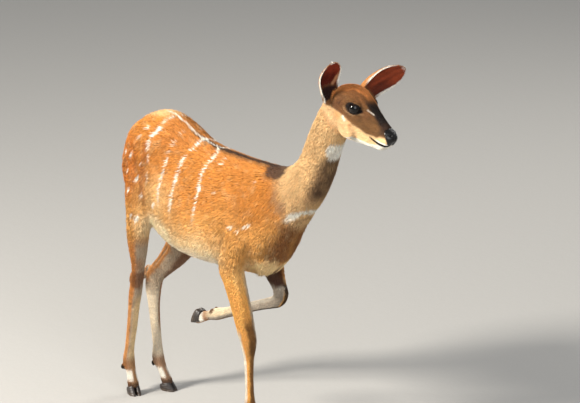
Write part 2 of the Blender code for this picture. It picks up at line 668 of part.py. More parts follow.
frames = foot_frames()
for name, frame in frames.items():
    cut(body, foot_tool("coronet_" + name, frame, tools))
for name, centre, size, turn in SLABS:
    cut(body, slab(name, centre, size, turn, tools))
for side, sign in (("right", -1), ("left", 1)):
    place = Vector(eye_place(sign))
    for label, radius, folder in (("eye_" + side, EYE_R, animal), ("socket_" + side, EYE_R + 0.0004, tools)):
        mesh = bmesh.new()
        bmesh.ops.create_uvsphere(mesh, u_segments=16, v_segments=10, radius=radius)
        bmesh.ops.rotate(mesh, verts=mesh.verts, matrix=Matrix.Rotation(math.radians(90), 3, "X"))
        bmesh.ops.translate(mesh, verts=mesh.verts, vec=place)
        data = bpy.data.meshes.new(label)
        mesh.to_mesh(data)
        mesh.free()
        thing = as_object(label, data, folder)
        if folder is animal:
            made[label] = thing
        else:
            cut(body, thing)

for piece in islands(body.data):
    spots = points_of(piece)
    centre = (spots.min(axis=0) + spots.max(axis=0)) / 2
    if len(spots) < 12:
        continue
    name = min(PARTS, key=lambda n: np.linalg.norm(centre - np.array(PARTS[n])))
    if name in made:
        raise ValueError(f"two pieces for {name}: {len(spots)} points at {centre}")
    made[name] = as_object(name, piece, animal)
for name, frame in frames.items():
    for side, label in ((1, "left"), (-1, "right")):
        part = f"claw_{name}_{label}"
        made[part] = as_object(part, claw_form(part, frame, side, 6, 12), animal)

whole = bpy.data.objects.new("bushbuck_frame", None)
whole.location = (-CENTRE_X, -CENTRE_Y, 0.0)
animal.objects.link(whole)
slots = {"eye": "eye", "cla": "hoof", "ear": "inner_ear"}
for name, thing in made.items():
    tidy(thing.data)
    thing.name = thing.data.name = name
    slot = slots.get(name[:3], "pale_coat" if name.endswith("_lower") else "rufous_coat")
    thing.data.materials.clear()
    thing.data.materials.append(skin[slot])
    if name[:3] != "cla":
        thing.data.shade_smooth()
    spots = points_of(thing.data)
    middle = Vector((spots.min(axis=0) + spots.max(axis=0)) / 2)
    thing.data.transform(Matrix.Translation(-middle))
    thing.location = middle
    thing.parent = whole

for thing in (body, grown):
    bpy.data.objects.remove(thing, do_unlink=True)
for thing in tools.objects:
    thing.parent = whole
    thing.hide_render = True
    thing.display_type = "WIRE"
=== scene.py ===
"""A female bushbuck in fur: skin, coat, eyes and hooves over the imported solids, on a plain studio floor."""
import json
import math

import bmesh
import bpy
import numpy as np
from mathutils import Euler, Matrix, Vector
from mathutils.bvhtree import BVHTree

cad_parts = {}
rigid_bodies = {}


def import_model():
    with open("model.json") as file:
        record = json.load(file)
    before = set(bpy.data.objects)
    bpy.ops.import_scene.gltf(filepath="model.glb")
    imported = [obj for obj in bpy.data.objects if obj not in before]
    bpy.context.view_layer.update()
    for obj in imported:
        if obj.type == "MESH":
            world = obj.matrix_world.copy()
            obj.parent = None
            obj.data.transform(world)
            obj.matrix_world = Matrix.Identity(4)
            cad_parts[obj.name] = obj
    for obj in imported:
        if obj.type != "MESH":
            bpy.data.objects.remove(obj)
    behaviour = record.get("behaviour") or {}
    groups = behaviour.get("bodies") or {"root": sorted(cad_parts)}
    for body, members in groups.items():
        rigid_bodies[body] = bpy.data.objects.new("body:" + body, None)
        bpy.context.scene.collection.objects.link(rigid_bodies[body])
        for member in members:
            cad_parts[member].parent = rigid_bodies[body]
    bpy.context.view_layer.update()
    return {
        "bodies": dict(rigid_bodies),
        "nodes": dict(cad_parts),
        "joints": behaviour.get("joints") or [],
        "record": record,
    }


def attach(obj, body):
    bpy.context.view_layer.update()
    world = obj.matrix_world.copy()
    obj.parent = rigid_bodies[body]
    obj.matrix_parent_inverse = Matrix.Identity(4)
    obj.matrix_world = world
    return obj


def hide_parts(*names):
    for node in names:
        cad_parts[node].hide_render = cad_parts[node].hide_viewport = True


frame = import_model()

scene = bpy.context.scene
folder = bpy.data.collections.new("bushbuck")
scene.collection.children.link(folder)

# ---------------------------------------------------------------- sizes
# Metres. +X is the way the animal faces, +Y its left, +Z up, the ground at Z = 0.
CENTRE_X = -0.1453          # the layout below is drawn with the withers near X = 0; this moves it to the middle
CENTRE_Y = 0.0150
RING = 28                   # points round a section


def curve_through(rows, count):
    """Rows of numbers resampled evenly along a smooth curve (centripetal Catmull-Rom) through them."""
    rows = np.array(rows, float)
    step = np.linalg.norm(np.diff(rows[:, :3], axis=0), axis=1) ** 0.5
    knots = np.concatenate([[0.0], np.cumsum(np.maximum(step, 1e-6))])
    ends = [2 * rows[0] - rows[1], 2 * rows[-1] - rows[-2]]
    p = np.vstack([ends[0], rows, ends[1]])
    t = np.concatenate([[knots[0] - (knots[1] - knots[0])], knots, [knots[-1] + knots[-1] - knots[-2]]])
    found = []
    for x in np.linspace(knots[0], knots[-1], count):
        i = int(min(max(np.searchsorted(knots, x, "right") - 1, 0), len(rows) - 2)) + 1
        t0, t1, t2, t3 = t[i - 1], t[i], t[i + 1], t[i + 2]
        m1 = (p[i + 1] - p[i - 1]) / (t2 - t0)
        m2 = (p[i + 2] - p[i]) / (t3 - t1)
        d = t2 - t1
        u = (x - t1) / d
        found.append(
            (2 * u**3 - 3 * u**2 + 1) * p[i] + (u**3 - 2 * u**2 + u) * d * m1
            + (3 * u**2 - 2 * u**3) * p[i + 1] + (u**3 - u**2) * d * m2
        )
    return np.array(found)


def power(value, exponent):
    return np.sign(value) * np.abs(value) ** exponent


def skin_rings(name, rings):
    """A closed mesh through rings of equal length, with a fan at each end."""
    mesh = bmesh.new()
    rows = [[mesh.verts.new(p) for p in ring] for ring in rings]
    n = len(rows[0])
    for a, b in zip(rows, rows[1:]):
        for i in range(n):
            mesh.faces.new((a[i], a[(i + 1) % n], b[(i + 1) % n], b[i]))
    for row, way in ((rows[0], -1), (rows[-1], 1)):
        tip = mesh.verts.new(sum((v.co for v in row), Vector()) / n)
        for i in range(n):
            pair = (row[i], row[(i + 1) % n])
            mesh.faces.new((*pair[::way], tip) if way > 0 else (pair[1], pair[0], tip))
    bmesh.ops.recalc_face_normals(mesh, faces=mesh.faces)
    data = bpy.data.meshes.new(name)
    mesh.to_mesh(data)
    mesh.free()
    return data


def sagittal_loft(name, stations, count, y=0.0):
    """Sections across the middle plane. A station is top x, top z, bottom x, bottom z, half width, the widest
    level as a share of the height from the bottom, and the roundness of the upper and lower halves."""
    rows = [((a + c) / 2, 0.0, (b + d) / 2, a, b, c, d, *rest) for a, b, c, d, *rest in stations]
    rings = []
    for row in curve_through(rows, count):
        _, _, _, tx, tz, bx, bz, w, level, up, down = row
        mid = np.array([bx + (tx - bx) * level, y, bz + (tz - bz) * level])
        ring = []
        for k in range(RING):
            a = 2 * math.pi * (k + 0.5) / RING
            c, s = math.cos(a), math.sin(a)
            e = up if s > 0 else down
            reach = (np.array([tx, y, tz]) - mid) if s > 0 else (mid - np.array([bx, y, bz]))
            ring.append(Vector(mid + reach * power(s, 2 / e) + np.array([0, w * power(c, 2 / e), 0])))
        rings.append(ring)
    return skin_rings(name, rings)


def limb_loft(name, stations, count, out=0.0, points=RING):
    """Sections across a limb. A station is its centre x, y, z, its reach to the front, to the back and to each
    side. out turns the sections about the upright, in degrees, towards the outside of the body."""
    rows = curve_through(stations, count)
    centres = rows[:, :3]
    run = np.gradient(centres, axis=0)
    run /= np.linalg.norm(run, axis=1)[:, None]
    rings = []
    for centre, way, row in zip(centres, run, rows):
        turn = math.radians(out)
        side = np.array([-math.sin(turn), math.cos(turn), 0.0])
        side = side - way * (side @ way)
        side /= np.linalg.norm(side)
        ahead = np.cross(side, way)
        if ahead @ np.array([1.0, 0.0, 0.25]) < 0:
            ahead = -ahead
        f, b, w = row[3:6]
        ring = []
        for k in range(points):
            a = 2 * math.pi * (k + 0.5) / points
            c, s = math.cos(a), math.sin(a)
            ring.append(Vector(centre + ahead * (f if s > 0 else b) * power(s, 0.95) + side * w * power(c, 0.95)))
        rings.append(ring)
    return skin_rings(name, rings)


def lump(name, centre, reach, turn=(0, 0, 0)):
    """An ellipsoid: half lengths along x, y, z, turned by degrees about x, y, z."""
    mesh = bmesh.new()
    bmesh.ops.create_uvsphere(mesh, u_segments=28, v_segments=18, radius=1.0)
    spin = Euler([math.radians(t) for t in turn]).to_matrix().to_4x4()
    bmesh.ops.transform(mesh, matrix=Matrix.Translation(centre) @ spin @ Matrix.Diagonal((*reach, 1.0)), verts=mesh.verts)
    data = bpy.data.meshes.new(name)
    mesh.to_mesh(data)
    mesh.free()
    return data


# ---------------------------------------------------------------- trunk and neck
# top x, top z, bottom x, bottom z, half width, widest level, roundness above, roundness below
TRUNK = [
    (-0.594, 0.672, -0.588, 0.625, 0.020, 0.50, 2.0, 2.0),
    (-0.584, 0.698, -0.576, 0.580, 0.044, 0.50, 2.0, 2.0),
    (-0.560, 0.728, -0.550, 0.525, 0.068, 0.52, 2.1, 2.0),
    (-0.525, 0.751, -0.515, 0.478, 0.087, 0.52, 2.2, 2.0),
    (-0.485, 0.763, -0.477, 0.446, 0.098, 0.50, 2.2, 2.0),
    (-0.445, 0.761, -0.438, 0.426, 0.104, 0.46, 2.1, 2.0),
    (-0.400, 0.746, -0.398, 0.416, 0.109, 0.44, 2.0, 2.1),
    (-0.350, 0.724, -0.350, 0.411, 0.112, 0.42, 1.95, 2.1),
    (-0.290, 0.711, -0.295, 0.409, 0.112, 0.42, 1.9, 2.1),
    (-0.230, 0.707, -0.235, 0.410, 0.108, 0.42, 1.9, 2.0),
    (-0.170, 0.705, -0.175, 0.414, 0.100, 0.44, 1.8, 2.0),
    (-0.110, 0.705, -0.110, 0.417, 0.090, 0.46, 1.8, 2.0),
    (-0.060, 0.706, -0.058, 0.431, 0.080, 0.48, 1.8, 2.0),
    (-0.020, 0.709, -0.010, 0.478, 0.062, 0.50, 1.9, 2.0),
    (0.012, 0.718, 0.032, 0.544, 0.053, 0.50, 2.0, 2.0),
    (0.040, 0.737, 0.079, 0.602, 0.050, 0.50, 2.0, 2.0),
    (0.065, 0.767, 0.119, 0.655, 0.048, 0.50, 2.0, 2.0),
    (0.084, 0.813, 0.149, 0.707, 0.045, 0.50, 2.0, 2.0),
    (0.108, 0.859, 0.167, 0.753, 0.042, 0.50, 2.0, 2.0),
    (0.134, 0.901, 0.188, 0.794, 0.040, 0.50, 2.0, 2.0),
    (0.167, 0.929, 0.206, 0.826, 0.038, 0.50, 2.0, 2.0),
    (0.205, 0.932, 0.232, 0.850, 0.030, 0.50, 2.0, 2.0),
]

# ---------------------------------------------------------------- head
HEAD = [
    (0.156, 0.905, 0.180, 0.865, 0.014, 0.50, 2.0, 2.0),
    (0.168, 0.928, 0.186, 0.838, 0.033, 0.58, 2.0, 2.0),
    (0.192, 0.946, 0.204, 0.820, 0.042, 0.62, 2.2, 1.8),
    (0.220, 0.953, 0.222, 0.8155, 0.046, 0.62, 2.3, 1.7),
    (0.246, 0.952, 0.240, 0.8150, 0.0445, 0.60, 2.4, 1.6),
    (0.270, 0.940, 0.258, 0.8150, 0.0400, 0.58, 2.5, 1.6),
    (0.292, 0.925, 0.276, 0.8150, 0.0350, 0.56, 2.4, 1.6),
    (0.310, 0.909, 0.292, 0.8145, 0.030, 0.55, 2.3, 1.7),
    (0.327, 0.895, 0.306, 0.8140, 0.0255, 0.54, 2.3, 1.8),
    (0.343, 0.883, 0.319, 0.8135, 0.0235, 0.52, 2.3, 1.9),
    (0.357, 0.873, 0.331, 0.8135, 0.0230, 0.52, 2.3, 2.0),
    (0.369, 0.864, 0.341, 0.816, 0.0215, 0.55, 2.3, 2.0),
    (0.377, 0.855, 0.351, 0.821, 0.0175, 0.58, 2.2, 2.0),
    (0.379, 0.846, 0.362, 0.830, 0.0090, 0.55, 2.0, 2.0),
]
EYE_X, EYE_Y, EYE_Z, EYE_R = 0.2640, 0.0290, 0.9080, 0.0158

# the tables draw the head straight; it is turned a little to the animal's left about the poll
POLL = (0.190, 0.0, 0.900)
TURN, TURN_LENGTH, TURN_DROP = math.radians(9.0), 0.87, 0.052


def turn_share(points):
    """0 at the base of the neck, 1 on the head."""
    t = np.clip(((points[:, 0] - 0.10) * 0.45 + (points[:, 2] - 0.76) * 0.89) / 0.13, 0.0, 1.0)
    return t * t * (3 - 2 * t)


def turned(points):
    """Places of the straight tables moved to where the turned head has them."""
    points = np.array(points, float)
    share = turn_share(points)[:, None]
    off = points - np.array(POLL)
    along = off[:, 0] * TURN_LENGTH
    there = np.stack(
        [
            along * math.cos(TURN) - off[:, 1] * math.sin(TURN),
            along * math.sin(TURN) + off[:, 1] * math.cos(TURN),
            off[:, 2] - off[:, 0] * TURN_DROP,
        ],
        axis=1,
    ) + np.array(POLL)
    return points + share * (there - points)


def eye_place(side):
    """The centre of an eye; side is +1 for the animal's left."""
    return turned([(EYE_X, side * EYE_Y, EYE_Z)])[0]

# ---------------------------------------------------------------- limbs
# centre x, y, z, reach to the front, to the back, to each side
FORE_R = [
    (-0.095, -0.066, 0.545, 0.045, 0.055, 0.028),
    (-0.118, -0.076, 0.490, 0.042, 0.048, 0.031),
    (-0.130, -0.077, 0.445, 0.036, 0.040, 0.030),
    (-0.125, -0.070, 0.405, 0.031, 0.034, 0.027),
    (-0.118, -0.061, 0.355, 0.029, 0.029, 0.0250),
    (-0.113, -0.054, 0.315, 0.027, 0.026, 0.0245),
    (-0.110, -0.048, 0.282, 0.024, 0.024, 0.0230),
    (-0.107, -0.044, 0.255, 0.023, 0.020, 0.0210),
    (-0.108, -0.041, 0.232, 0.0185, 0.0175, 0.0175),
    (-0.111, -0.038, 0.205, 0.0135, 0.0140, 0.0130),
    (-0.116, -0.033, 0.150, 0.0110, 0.0125, 0.0110),
    (-0.119, -0.029, 0.105, 0.0115, 0.0130, 0.0120),
    (-0.120, -0.027, 0.078, 0.0145, 0.0165, 0.0155),
    (-0.108, -0.026, 0.053, 0.0112, 0.0122, 0.0130),
    (-0.097, -0.025, 0.031, 0.0128, 0.0145, 0.0150),
    (-0.090, -0.025, 0.014, 0.0128, 0.0145, 0.0150),
]
FORE_L = [
    (-0.112, 0.064, 0.560, 0.045, 0.050, 0.028),
    (-0.142, 0.074, 0.515, 0.040, 0.045, 0.031),
    (-0.160, 0.078, 0.478, 0.036, 0.046, 0.032),
    (-0.161, 0.078, 0.440, 0.032, 0.043, 0.029),
    (-0.151, 0.077, 0.405, 0.027, 0.036, 0.0240),
    (-0.132, 0.075, 0.372, 0.0200, 0.0240, 0.0190),
    (-0.120, 0.073, 0.350, 0.0185, 0.0175, 0.0180),
]
FORE_L_LOW = [
    (-0.121, 0.074, 0.368, 0.0155, 0.0180, 0.0165),
    (-0.117, 0.072, 0.348, 0.0180, 0.0175, 0.0175),
    (-0.125, 0.067, 0.333, 0.0185, 0.0165, 0.0175),
    (-0.146, 0.059, 0.323, 0.0155, 0.0145, 0.0152),
    (-0.172, 0.046, 0.3140, 0.0138, 0.0135, 0.0130),
    (-0.212, 0.025, 0.2990, 0.0135, 0.0135, 0.0122),
    (-0.252, 0.004, 0.2840, 0.0138, 0.0140, 0.0128),
    (-0.274, -0.006, 0.2765, 0.0150, 0.0165, 0.0152),
    (-0.297, -0.012, 0.2695, 0.0116, 0.0126, 0.0130),
    (-0.320, -0.016, 0.2610, 0.0128, 0.0145, 0.0150),
    (-0.339, -0.019, 0.2525, 0.0128, 0.0145, 0.0150),
]
HIND_R = [
    (-0.505, -0.048, 0.670, 0.050, 0.045, 0.036),
    (-0.510, -0.058, 0.610, 0.065, 0.055, 0.036),
    (-0.508, -0.066, 0.550, 0.062, 0.058, 0.036),
    (-0.503, -0.070, 0.500, 0.050, 0.052, 0.034),
    (-0.510, -0.070, 0.450, 0.036, 0.042, 0.029),
    (-0.524, -0.060, 0.400, 0.027, 0.031, 0.0245),
    (-0.538, -0.050, 0.352, 0.0200, 0.0225, 0.0190),
    (-0.550, -0.042, 0.316, 0.0170, 0.0230, 0.0165),
    (-0.561, -0.038, 0.288, 0.0180, 0.0240, 0.0170),
    (-0.570, -0.036, 0.262, 0.0170, 0.0190, 0.0165),
    (-0.578, -0.034, 0.228, 0.0140, 0.0150, 0.0150),
    (-0.588, -0.032, 0.180, 0.0130, 0.0140, 0.0140),
    (-0.601, -0.031, 0.118, 0.0120, 0.0130, 0.0125),
    (-0.606, -0.030, 0.080, 0.0150, 0.0170, 0.0160),
    (-0.594, -0.032, 0.054, 0.0114, 0.0122, 0.0130),
    (-0.584, -0.035, 0.031, 0.0128, 0.0145, 0.0150),
    (-0.577, -0.037, 0.014, 0.0128, 0.0145, 0.0150),
]
HIND_L = [
    (-0.500, 0.048, 0.670, 0.050, 0.045, 0.036),
    (-0.498, 0.060, 0.610, 0.065, 0.055, 0.038),
    (-0.490, 0.070, 0.550, 0.072, 0.066, 0.038),
    (-0.482, 0.074, 0.490, 0.066, 0.058, 0.034),
    (-0.498, 0.072, 0.430, 0.056, 0.046, 0.029),
    (-0.530, 0.064, 0.378, 0.046, 0.032, 0.0245),
    (-0.568, 0.056, 0.335, 0.0360, 0.0225, 0.0190),
    (-0.595, 0.051, 0.303, 0.0300, 0.0230, 0.0170),
    (-0.602, 0.049, 0.276, 0.0260, 0.0240, 0.0170),
    (-0.602, 0.048, 0.248, 0.0215, 0.0195, 0.0160),
    (-0.597, 0.046, 0.215, 0.0165, 0.0155, 0.0140),
    (-0.590, 0.045, 0.170, 0.0130, 0.0140, 0.0130),
    (-0.582, 0.045, 0.115, 0.0120, 0.0135, 0.0122),
    (-0.579, 0.045, 0.080, 0.0150, 0.0170, 0.0160),
    (-0.565, 0.047, 0.054, 0.0114, 0.0122, 0.0130),
    (-0.554, 0.050, 0.031, 0.0128, 0.0145, 0.0150),
    (-0.547, 0.052, 0.014, 0.0128, 0.0145, 0.0150),
]
TAIL = [
    (-0.560, 0.0, 0.708, 0.016, 0.016, 0.020),
    (-0.583, 0.0, 0.699, 0.015, 0.015, 0.020),
    (-0.600, 0.0, 0.674, 0.014, 0.014, 0.022),
    (-0.6055, 0.0, 0.630, 0.014, 0.014, 0.024),
    (-0.6065, 0.0, 0.575, 0.014, 0.014, 0.023),
    (-0.605, 0.0, 0.530, 0.010, 0.010, 0.016),
    (-0.603, 0.0, 0.500, 0.003, 0.003, 0.004),
]


# x, y, z and forward tilt of each dew claw, behind the fetlocks
DEW_CLAWS = [
    (-0.132, -0.035, 0.063, -25), (-0.132, -0.017, 0.063, -25),
    (-0.617, -0.043, 0.065, -25), (-0.619, -0.025, 0.065, -25),
    (-0.592, 0.037, 0.065, -25), (-0.590, 0.055, 0.065, -25),
    (-0.281, -0.015, 0.2870, -80), (-0.284, 0.001, 0.2880, -80),
]

# coronet centre x, y and heading in degrees of each standing foot; the lifted foot has a place and a direction
SOLE_DROP = 0.0202
STANDING = {
    "foreleg_right": (-0.0955, -0.025, -6.0),
    "hindleg_right": (-0.5825, -0.0355, -16.0),
    "hindleg_left": (-0.5525, 0.0505, 16.0),
}
LIFTED = ("foreleg_left", (-0.3200, -0.0160, 0.2620), (-0.98, -0.20, -0.25), (0.60, 0.0, -0.80))
# back and front x, back and front height, outer width: the claw from the coronet to the ground
CLAW = [
    (-0.0150, 0.0128, -0.0053, 0.0035, 0.0148),
    (-0.0157, 0.0160, -0.0088, -0.0005, 0.0155),
    (-0.0157, 0.0201, -0.0128, -0.0056, 0.0158),
    (-0.0148, 0.0243, -0.0165, -0.0113, 0.0158),
    (-0.0130, 0.0278, -0.0194, -0.0171, 0.0155),
    (-0.0113, 0.0294, -0.0202, -0.0202, 0.0150),
]
CLEFT = 0.0007

# root, tip, the way the hollow faces and the width, of each ear
EARS = {
    "ear_right": ((0.1885, -0.0350, 0.9095), (0.2335, -0.0655, 1.0155), (0.97, -0.08, -0.36), 1.00),
    "ear_left": ((0.2060, 0.0390, 0.8985), (0.2590, 0.1365, 0.9785), (0.86, -0.30, -0.46), 1.18),
}
# share of the length, half width, depth of the back, depth of the hollow
EAR = [
    (0.00, 0.0180, 0.0160, -0.0120),
    (0.12, 0.0196, 0.0200, -0.0010),
    (0.22, 0.0222, 0.0234, 0.0080),
    (0.32, 0.0248, 0.0242, 0.0130),
    (0.44, 0.0280, 0.0226, 0.0145),
    (0.57, 0.0302, 0.0180, 0.0125),
    (0.70, 0.0300, 0.0132, 0.0092),
    (0.82, 0.0255, 0.0094, 0.0060),
    (0.92, 0.0175, 0.0060, 0.0030),
    (0.98, 0.0090, 0.0032, 0.0008),
    (1.00, 0.0040, 0.0018, 0.0000),
]
EAR_RIM = 0.0026


def foot_frames():
    """The matrix of each foot: origin at the coronet centre, x to the toe, y to the animal's left, z up."""
    frames = {}
    for name, (x, y, heading) in STANDING.items():
        frames[name] = Matrix.Translation((x, y, SOLE_DROP)) @ Matrix.Rotation(math.radians(heading), 4, "Z")
    name, place, way, run = LIFTED
    way = Vector(way).normalized()
    side = way.cross(Vector((0, 0, 1))).normalized()
    run, left = Vector(run).normalized(), Vector((0, 1, 0))
    here = Matrix((run, left, run.cross(left))).transposed()
    there = Matrix((way, side, way.cross(side))).transposed()
    frames[name] = Matrix.Translation(place) @ (there @ here.transposed()).to_4x4()
    return frames


def claw_form(name, frame, side, count=12, points=20, extra=0.0):
    """One half of a cloven hoof; side is +1 for the animal's left claw of the foot."""
    rows = np.array(CLAW)
    rings = []
    for t in np.linspace(0, len(rows) - 1, count):
        i = min(int(t), len(rows) - 2)
        back, front, low, high, wide = rows[i] * (1 - (t - i)) + rows[i + 1] * (t - i)
        ring = []
        for k in range(points):
            a = 2 * math.pi * k / points
            c, s = math.cos(a), math.sin(a)
            x = (back + front) / 2 + (front - back) / 2 * power(c, 0.85)
            reach = wide * (1.0 - 0.30 * max(0.0, c) ** 2.2)
            if s > 0:
                y = CLEFT + 0.3 * reach + (reach * 0.7) * power(s, 0.75)
            else:
                y = CLEFT + 0.3 * reach - 0.3 * reach * power(-s, 0.45)
            y += 0.0022 * max(0.0, c) ** 2
            z = low + (high - low) * (x - back) / (front - back)
            ring.append(frame @ Vector((x, side * y, z)))
        rings.append(ring)
    return skin_rings(name, rings)


def ear_form(name, root, tip, hollow, width, count, points):
    """A leaf rolled into a cup, solid at its root."""
    root, tip = np.array(root), np.array(tip)
    run = tip - root
    run_way = run / np.linalg.norm(run)
    hollow = np.array(hollow)
    hollow = hollow - run_way * (hollow @ run_way)
    hollow /= np.linalg.norm(hollow)
    across = np.cross(run_way, hollow)
    rows = curve_through([(t, 0.0, 0.0, *rest) for t, *rest in EAR], count)
    rings = []
    for t, _, _, wide, back, inner in rows:
        wide, back = wide * width, back * width ** 1.6
        mid = root + run * t - hollow * 0.010 * math.sin(math.pi * min(max(t, 0), 1)) * 0.6
        ring = []
        for k in range(points):
            a = math.pi * (k + 0.5) / points
            ring.append(Vector(mid - across * wide * math.cos(a) - hollow * back * math.sin(a) ** 0.9))
        for k in range(points):
            a = math.pi * (points - k - 0.5) / points
            ring.append(Vector(mid - across * (wide - EAR_RIM * 0.3) * math.cos(a) + hollow * (EAR_RIM - inner * math.sin(a) ** 0.9)))
        rings.append(ring)
    return skin_rings(name, rings)


def flesh_pieces():
    """Every mesh whose union is the animal without eyes, ears, tail and hoofs."""
    made = [
        sagittal_loft("trunk_form", TRUNK, 60),
        sagittal_loft("head_form", HEAD, 46),
        limb_loft("fore_right_form", FORE_R, 60, -6),
        limb_loft("fore_left_form", FORE_L, 30, 0),
        limb_loft("fore_left_low_form", FORE_L_LOW, 44, 28),
        limb_loft("hind_right_form", HIND_R, 60, -16),
        limb_loft("hind_left_form", HIND_L, 60, 16),
    ]
    for s in (-1, 1):
        # shoulder blade, upper arm and the muscle behind it, croup, thigh and buttock
        made.append(lump("blade", (-0.088, s * 0.056, 0.600), (0.052, 0.030, 0.098), (s * 12, 14, 0)))
        made.append(lump("upper_arm", (-0.076, s * 0.054, 0.523), (0.052, 0.029, 0.045), (0, 30, 0)))
        made.append(lump("triceps", (-0.122, s * 0.068, 0.520), (0.050, 0.032, 0.062), (0, -20, 0)))
        made.append(lump("croup", (-0.490, s * 0.048, 0.668), (0.080, 0.047, 0.080), (s * 12, 8, 0)))
        made.append(lump("buttock", (-0.538, s * 0.046, 0.618), (0.048, 0.040, 0.090), (0, 4, 0)))
        # cheek, brow and cheek bone
        made.append(lump("cheek", (0.232, s * 0.026, 0.862), (0.034, 0.016, 0.034), (0, 20, 0)))
        made.append(lump("brow", (0.257, s * 0.0290, 0.9225), (0.026, 0.0135, 0.0115), (0, 30, s * -16)))
        made.append(lump("cheek_bone", (0.265, s * 0.0320, 0.893), (0.030, 0.0085, 0.0075), (0, 14, s * -18)))
    # dew claws, hock points, hanging brisket
    for x, y, z, tilt in DEW_CLAWS:
        made.append(lump("dew_claw", (x, y, z), (0.0055, 0.0048, 0.0085), (0, tilt, 0)))
    made.append(lump("hock_right", (-0.580, -0.034, 0.312), (0.0105, 0.0095, 0.026), (0, 22, 0)))
    made.append(lump("hock_left", (-0.627, 0.046, 0.301), (0.0105, 0.0095, 0.028), (0, 30, 0)))
    made.append(lump("brisket", (-0.044, 0.0, 0.508), (0.052, 0.034, 0.050), (0, 42, 0)))
    return made


# ---------------------------------------------------------------- smoothing
# centre x, y, z and reach x, y, z of the places smoothed most: shoulders, chest, belly, haunches and neck
SOFT = [
    ((-0.080, 0.0, 0.590), (0.150, 0.140, 0.190)),
    ((-0.300, 0.0, 0.570), (0.230, 0.160, 0.200)),
    ((-0.500, 0.0, 0.620), (0.150, 0.150, 0.200)),
    ((0.060, 0.0, 0.690), (0.120, 0.100, 0.150)),
]


def softness(points):
    """From 0 on head and lower legs to 1 in the middle of trunk and neck."""
    best = np.zeros(len(points))
    for centre, reach in SOFT:
        d = np.linalg.norm((points - np.array(centre)) / np.array(reach), axis=1)
        best = np.maximum(best, np.clip((1.15 - d) / 0.40, 0.0, 1.0))
    return best * best * (3 - 2 * best)


def as_object(name, data, folder):
    thing = bpy.data.objects.new(name, data)
    folder.objects.link(thing)
    return thing


def settled(thing):
    """Replace an object's mesh with the result of its modifiers."""
    bpy.context.view_layer.update()
    data = bpy.data.meshes.new_from_object(thing.evaluated_get(bpy.context.evaluated_depsgraph_get()))
    thing.modifiers.clear()
    old = thing.data
    thing.data = data
    bpy.data.meshes.remove(old)
    return thing


def points_of(data):
    flat = np.empty(len(data.vertices) * 3)
    data.vertices.foreach_get("co", flat)
    return flat.reshape(-1, 3)


def flesh_body(name, folder, voxel, fine, broad):
    """The union of the pieces as one closed surface, smoothed over fine metres everywhere and broad metres
    in the soft places."""
    mesh = bmesh.new()
    for piece in flesh_pieces():
        mesh.from_mesh(piece)
        bpy.data.meshes.remove(piece)
    data = bpy.data.meshes.new(name)
    mesh.to_mesh(data)
    mesh.free()
    data.vertices.foreach_set("co", turned(points_of(data)).ravel())
    body = as_object(name, data, folder)
    grid = body.modifiers.new("grid", "REMESH")
    grid.mode = "VOXEL"
    grid.voxel_size = voxel
    settled(body)
    group = body.vertex_groups.new(name="soft")
    weight = softness(points_of(body.data))
    levels = np.round(weight * 20).astype(int)
    for level in range(1, 21):
        chosen = np.flatnonzero(levels == level)
        if len(chosen):
            group.add([int(i) for i in chosen], level / 20, "REPLACE")
    for label, radius, over in (("fine", fine, ""), ("broad", broad, "soft")):
        even = body.modifiers.new(label, "SMOOTH")
        even.factor = 0.5
        even.iterations = max(1, round(1.6 * (radius / voxel) ** 2))
        even.vertex_group = over
    settled(body)
    body.vertex_groups.clear()
    return body


# ---------------------------------------------------------------- helpers
def srgb(r, g, b):
    c = np.array([r, g, b], float) / 255.0
    return np.where(c <= 0.04045, c / 12.92, ((c + 0.055) / 1.055) ** 2.4)


def ease(low, high, x):
    """0 at low, 1 at high, smooth between; low may be above high."""
    t = np.clip((x - low) / (high - low), 0.0, 1.0)
    return t * t * (3 - 2 * t)


def unit(v):
    return v / np.maximum(np.linalg.norm(v, axis=-1, keepdims=True), 1e-12)


def dot(a, b):
    return (a * b).sum(axis=-1)


def noise(points, size, seed):
    """Smooth value noise from -1 to 1 with features of about the given size in metres."""
    q = points / size
    base = np.floor(q).astype(np.int64)
    f = q - base
    f = f * f * (3 - 2 * f)
    total = np.zeros(len(points))
    for corner in range(8):
        o = np.array([corner & 1, (corner >> 1) & 1, corner >> 2])
        c = base + o
        h = (c[:, 0] * 73856093) ^ (c[:, 1] * 19349663) ^ (c[:, 2] * 83492791) ^ (seed * 2654435761)
        h = (h ^ (h >> 13)) * 1274126177
        value = ((h ^ (h >> 16)) & 0xFFFF) / 32767.5 - 1.0
        weight = np.prod(np.where(o == 1, f, 1 - f), axis=1)
        total += value * weight
    return total


def line_distance(points, line):
    """Distance to a line of straight pieces, and how far along it the nearest place is, from 0 to 1."""
    line = np.array(line, float)
    lengths = np.linalg.norm(np.diff(line, axis=0), axis=1)
    whole = lengths.sum()
    best = np.full(len(points), 1e9)
    along = np.zeros(len(points))
    done = 0.0
    for a, b, length in zip(line, line[1:], lengths):
        ab = b - a
        t = np.clip(((points - a) @ ab) / (ab @ ab), 0.0, 1.0)
        d = np.linalg.norm(points - (a + t[:, None] * ab), axis=1)
        better = d < best
        best = np.where(better, d, best)
        along = np.where(better, (done + t * length) / whole, along)
        done += length
    return best, along


def blob(points, centre, reach):
    """1 at a centre, falling to 0 at the reach, an ellipsoid."""
    d = np.linalg.norm((points - np.array(centre)) / np.array(reach), axis=1)
    return ease(1.0, 0.0, d)


def unturned(points):
    """Where the straight tables have places of the turned head and neck."""
    found = points.copy()
    for _ in range(6):
        found += points - turned(found)
    return found


def spun(vectors, angle):
    """Vectors turned about the upright by an angle each."""
    c, s = np.cos(angle), np.sin(angle)
    x, y, z = vectors.T
    return np.stack([x * c - y * s, x * s + y * c, z], axis=1)


def straight(points, normals):
    found = unturned(points)
    return found, spun(normals, -TURN * turn_share(found))


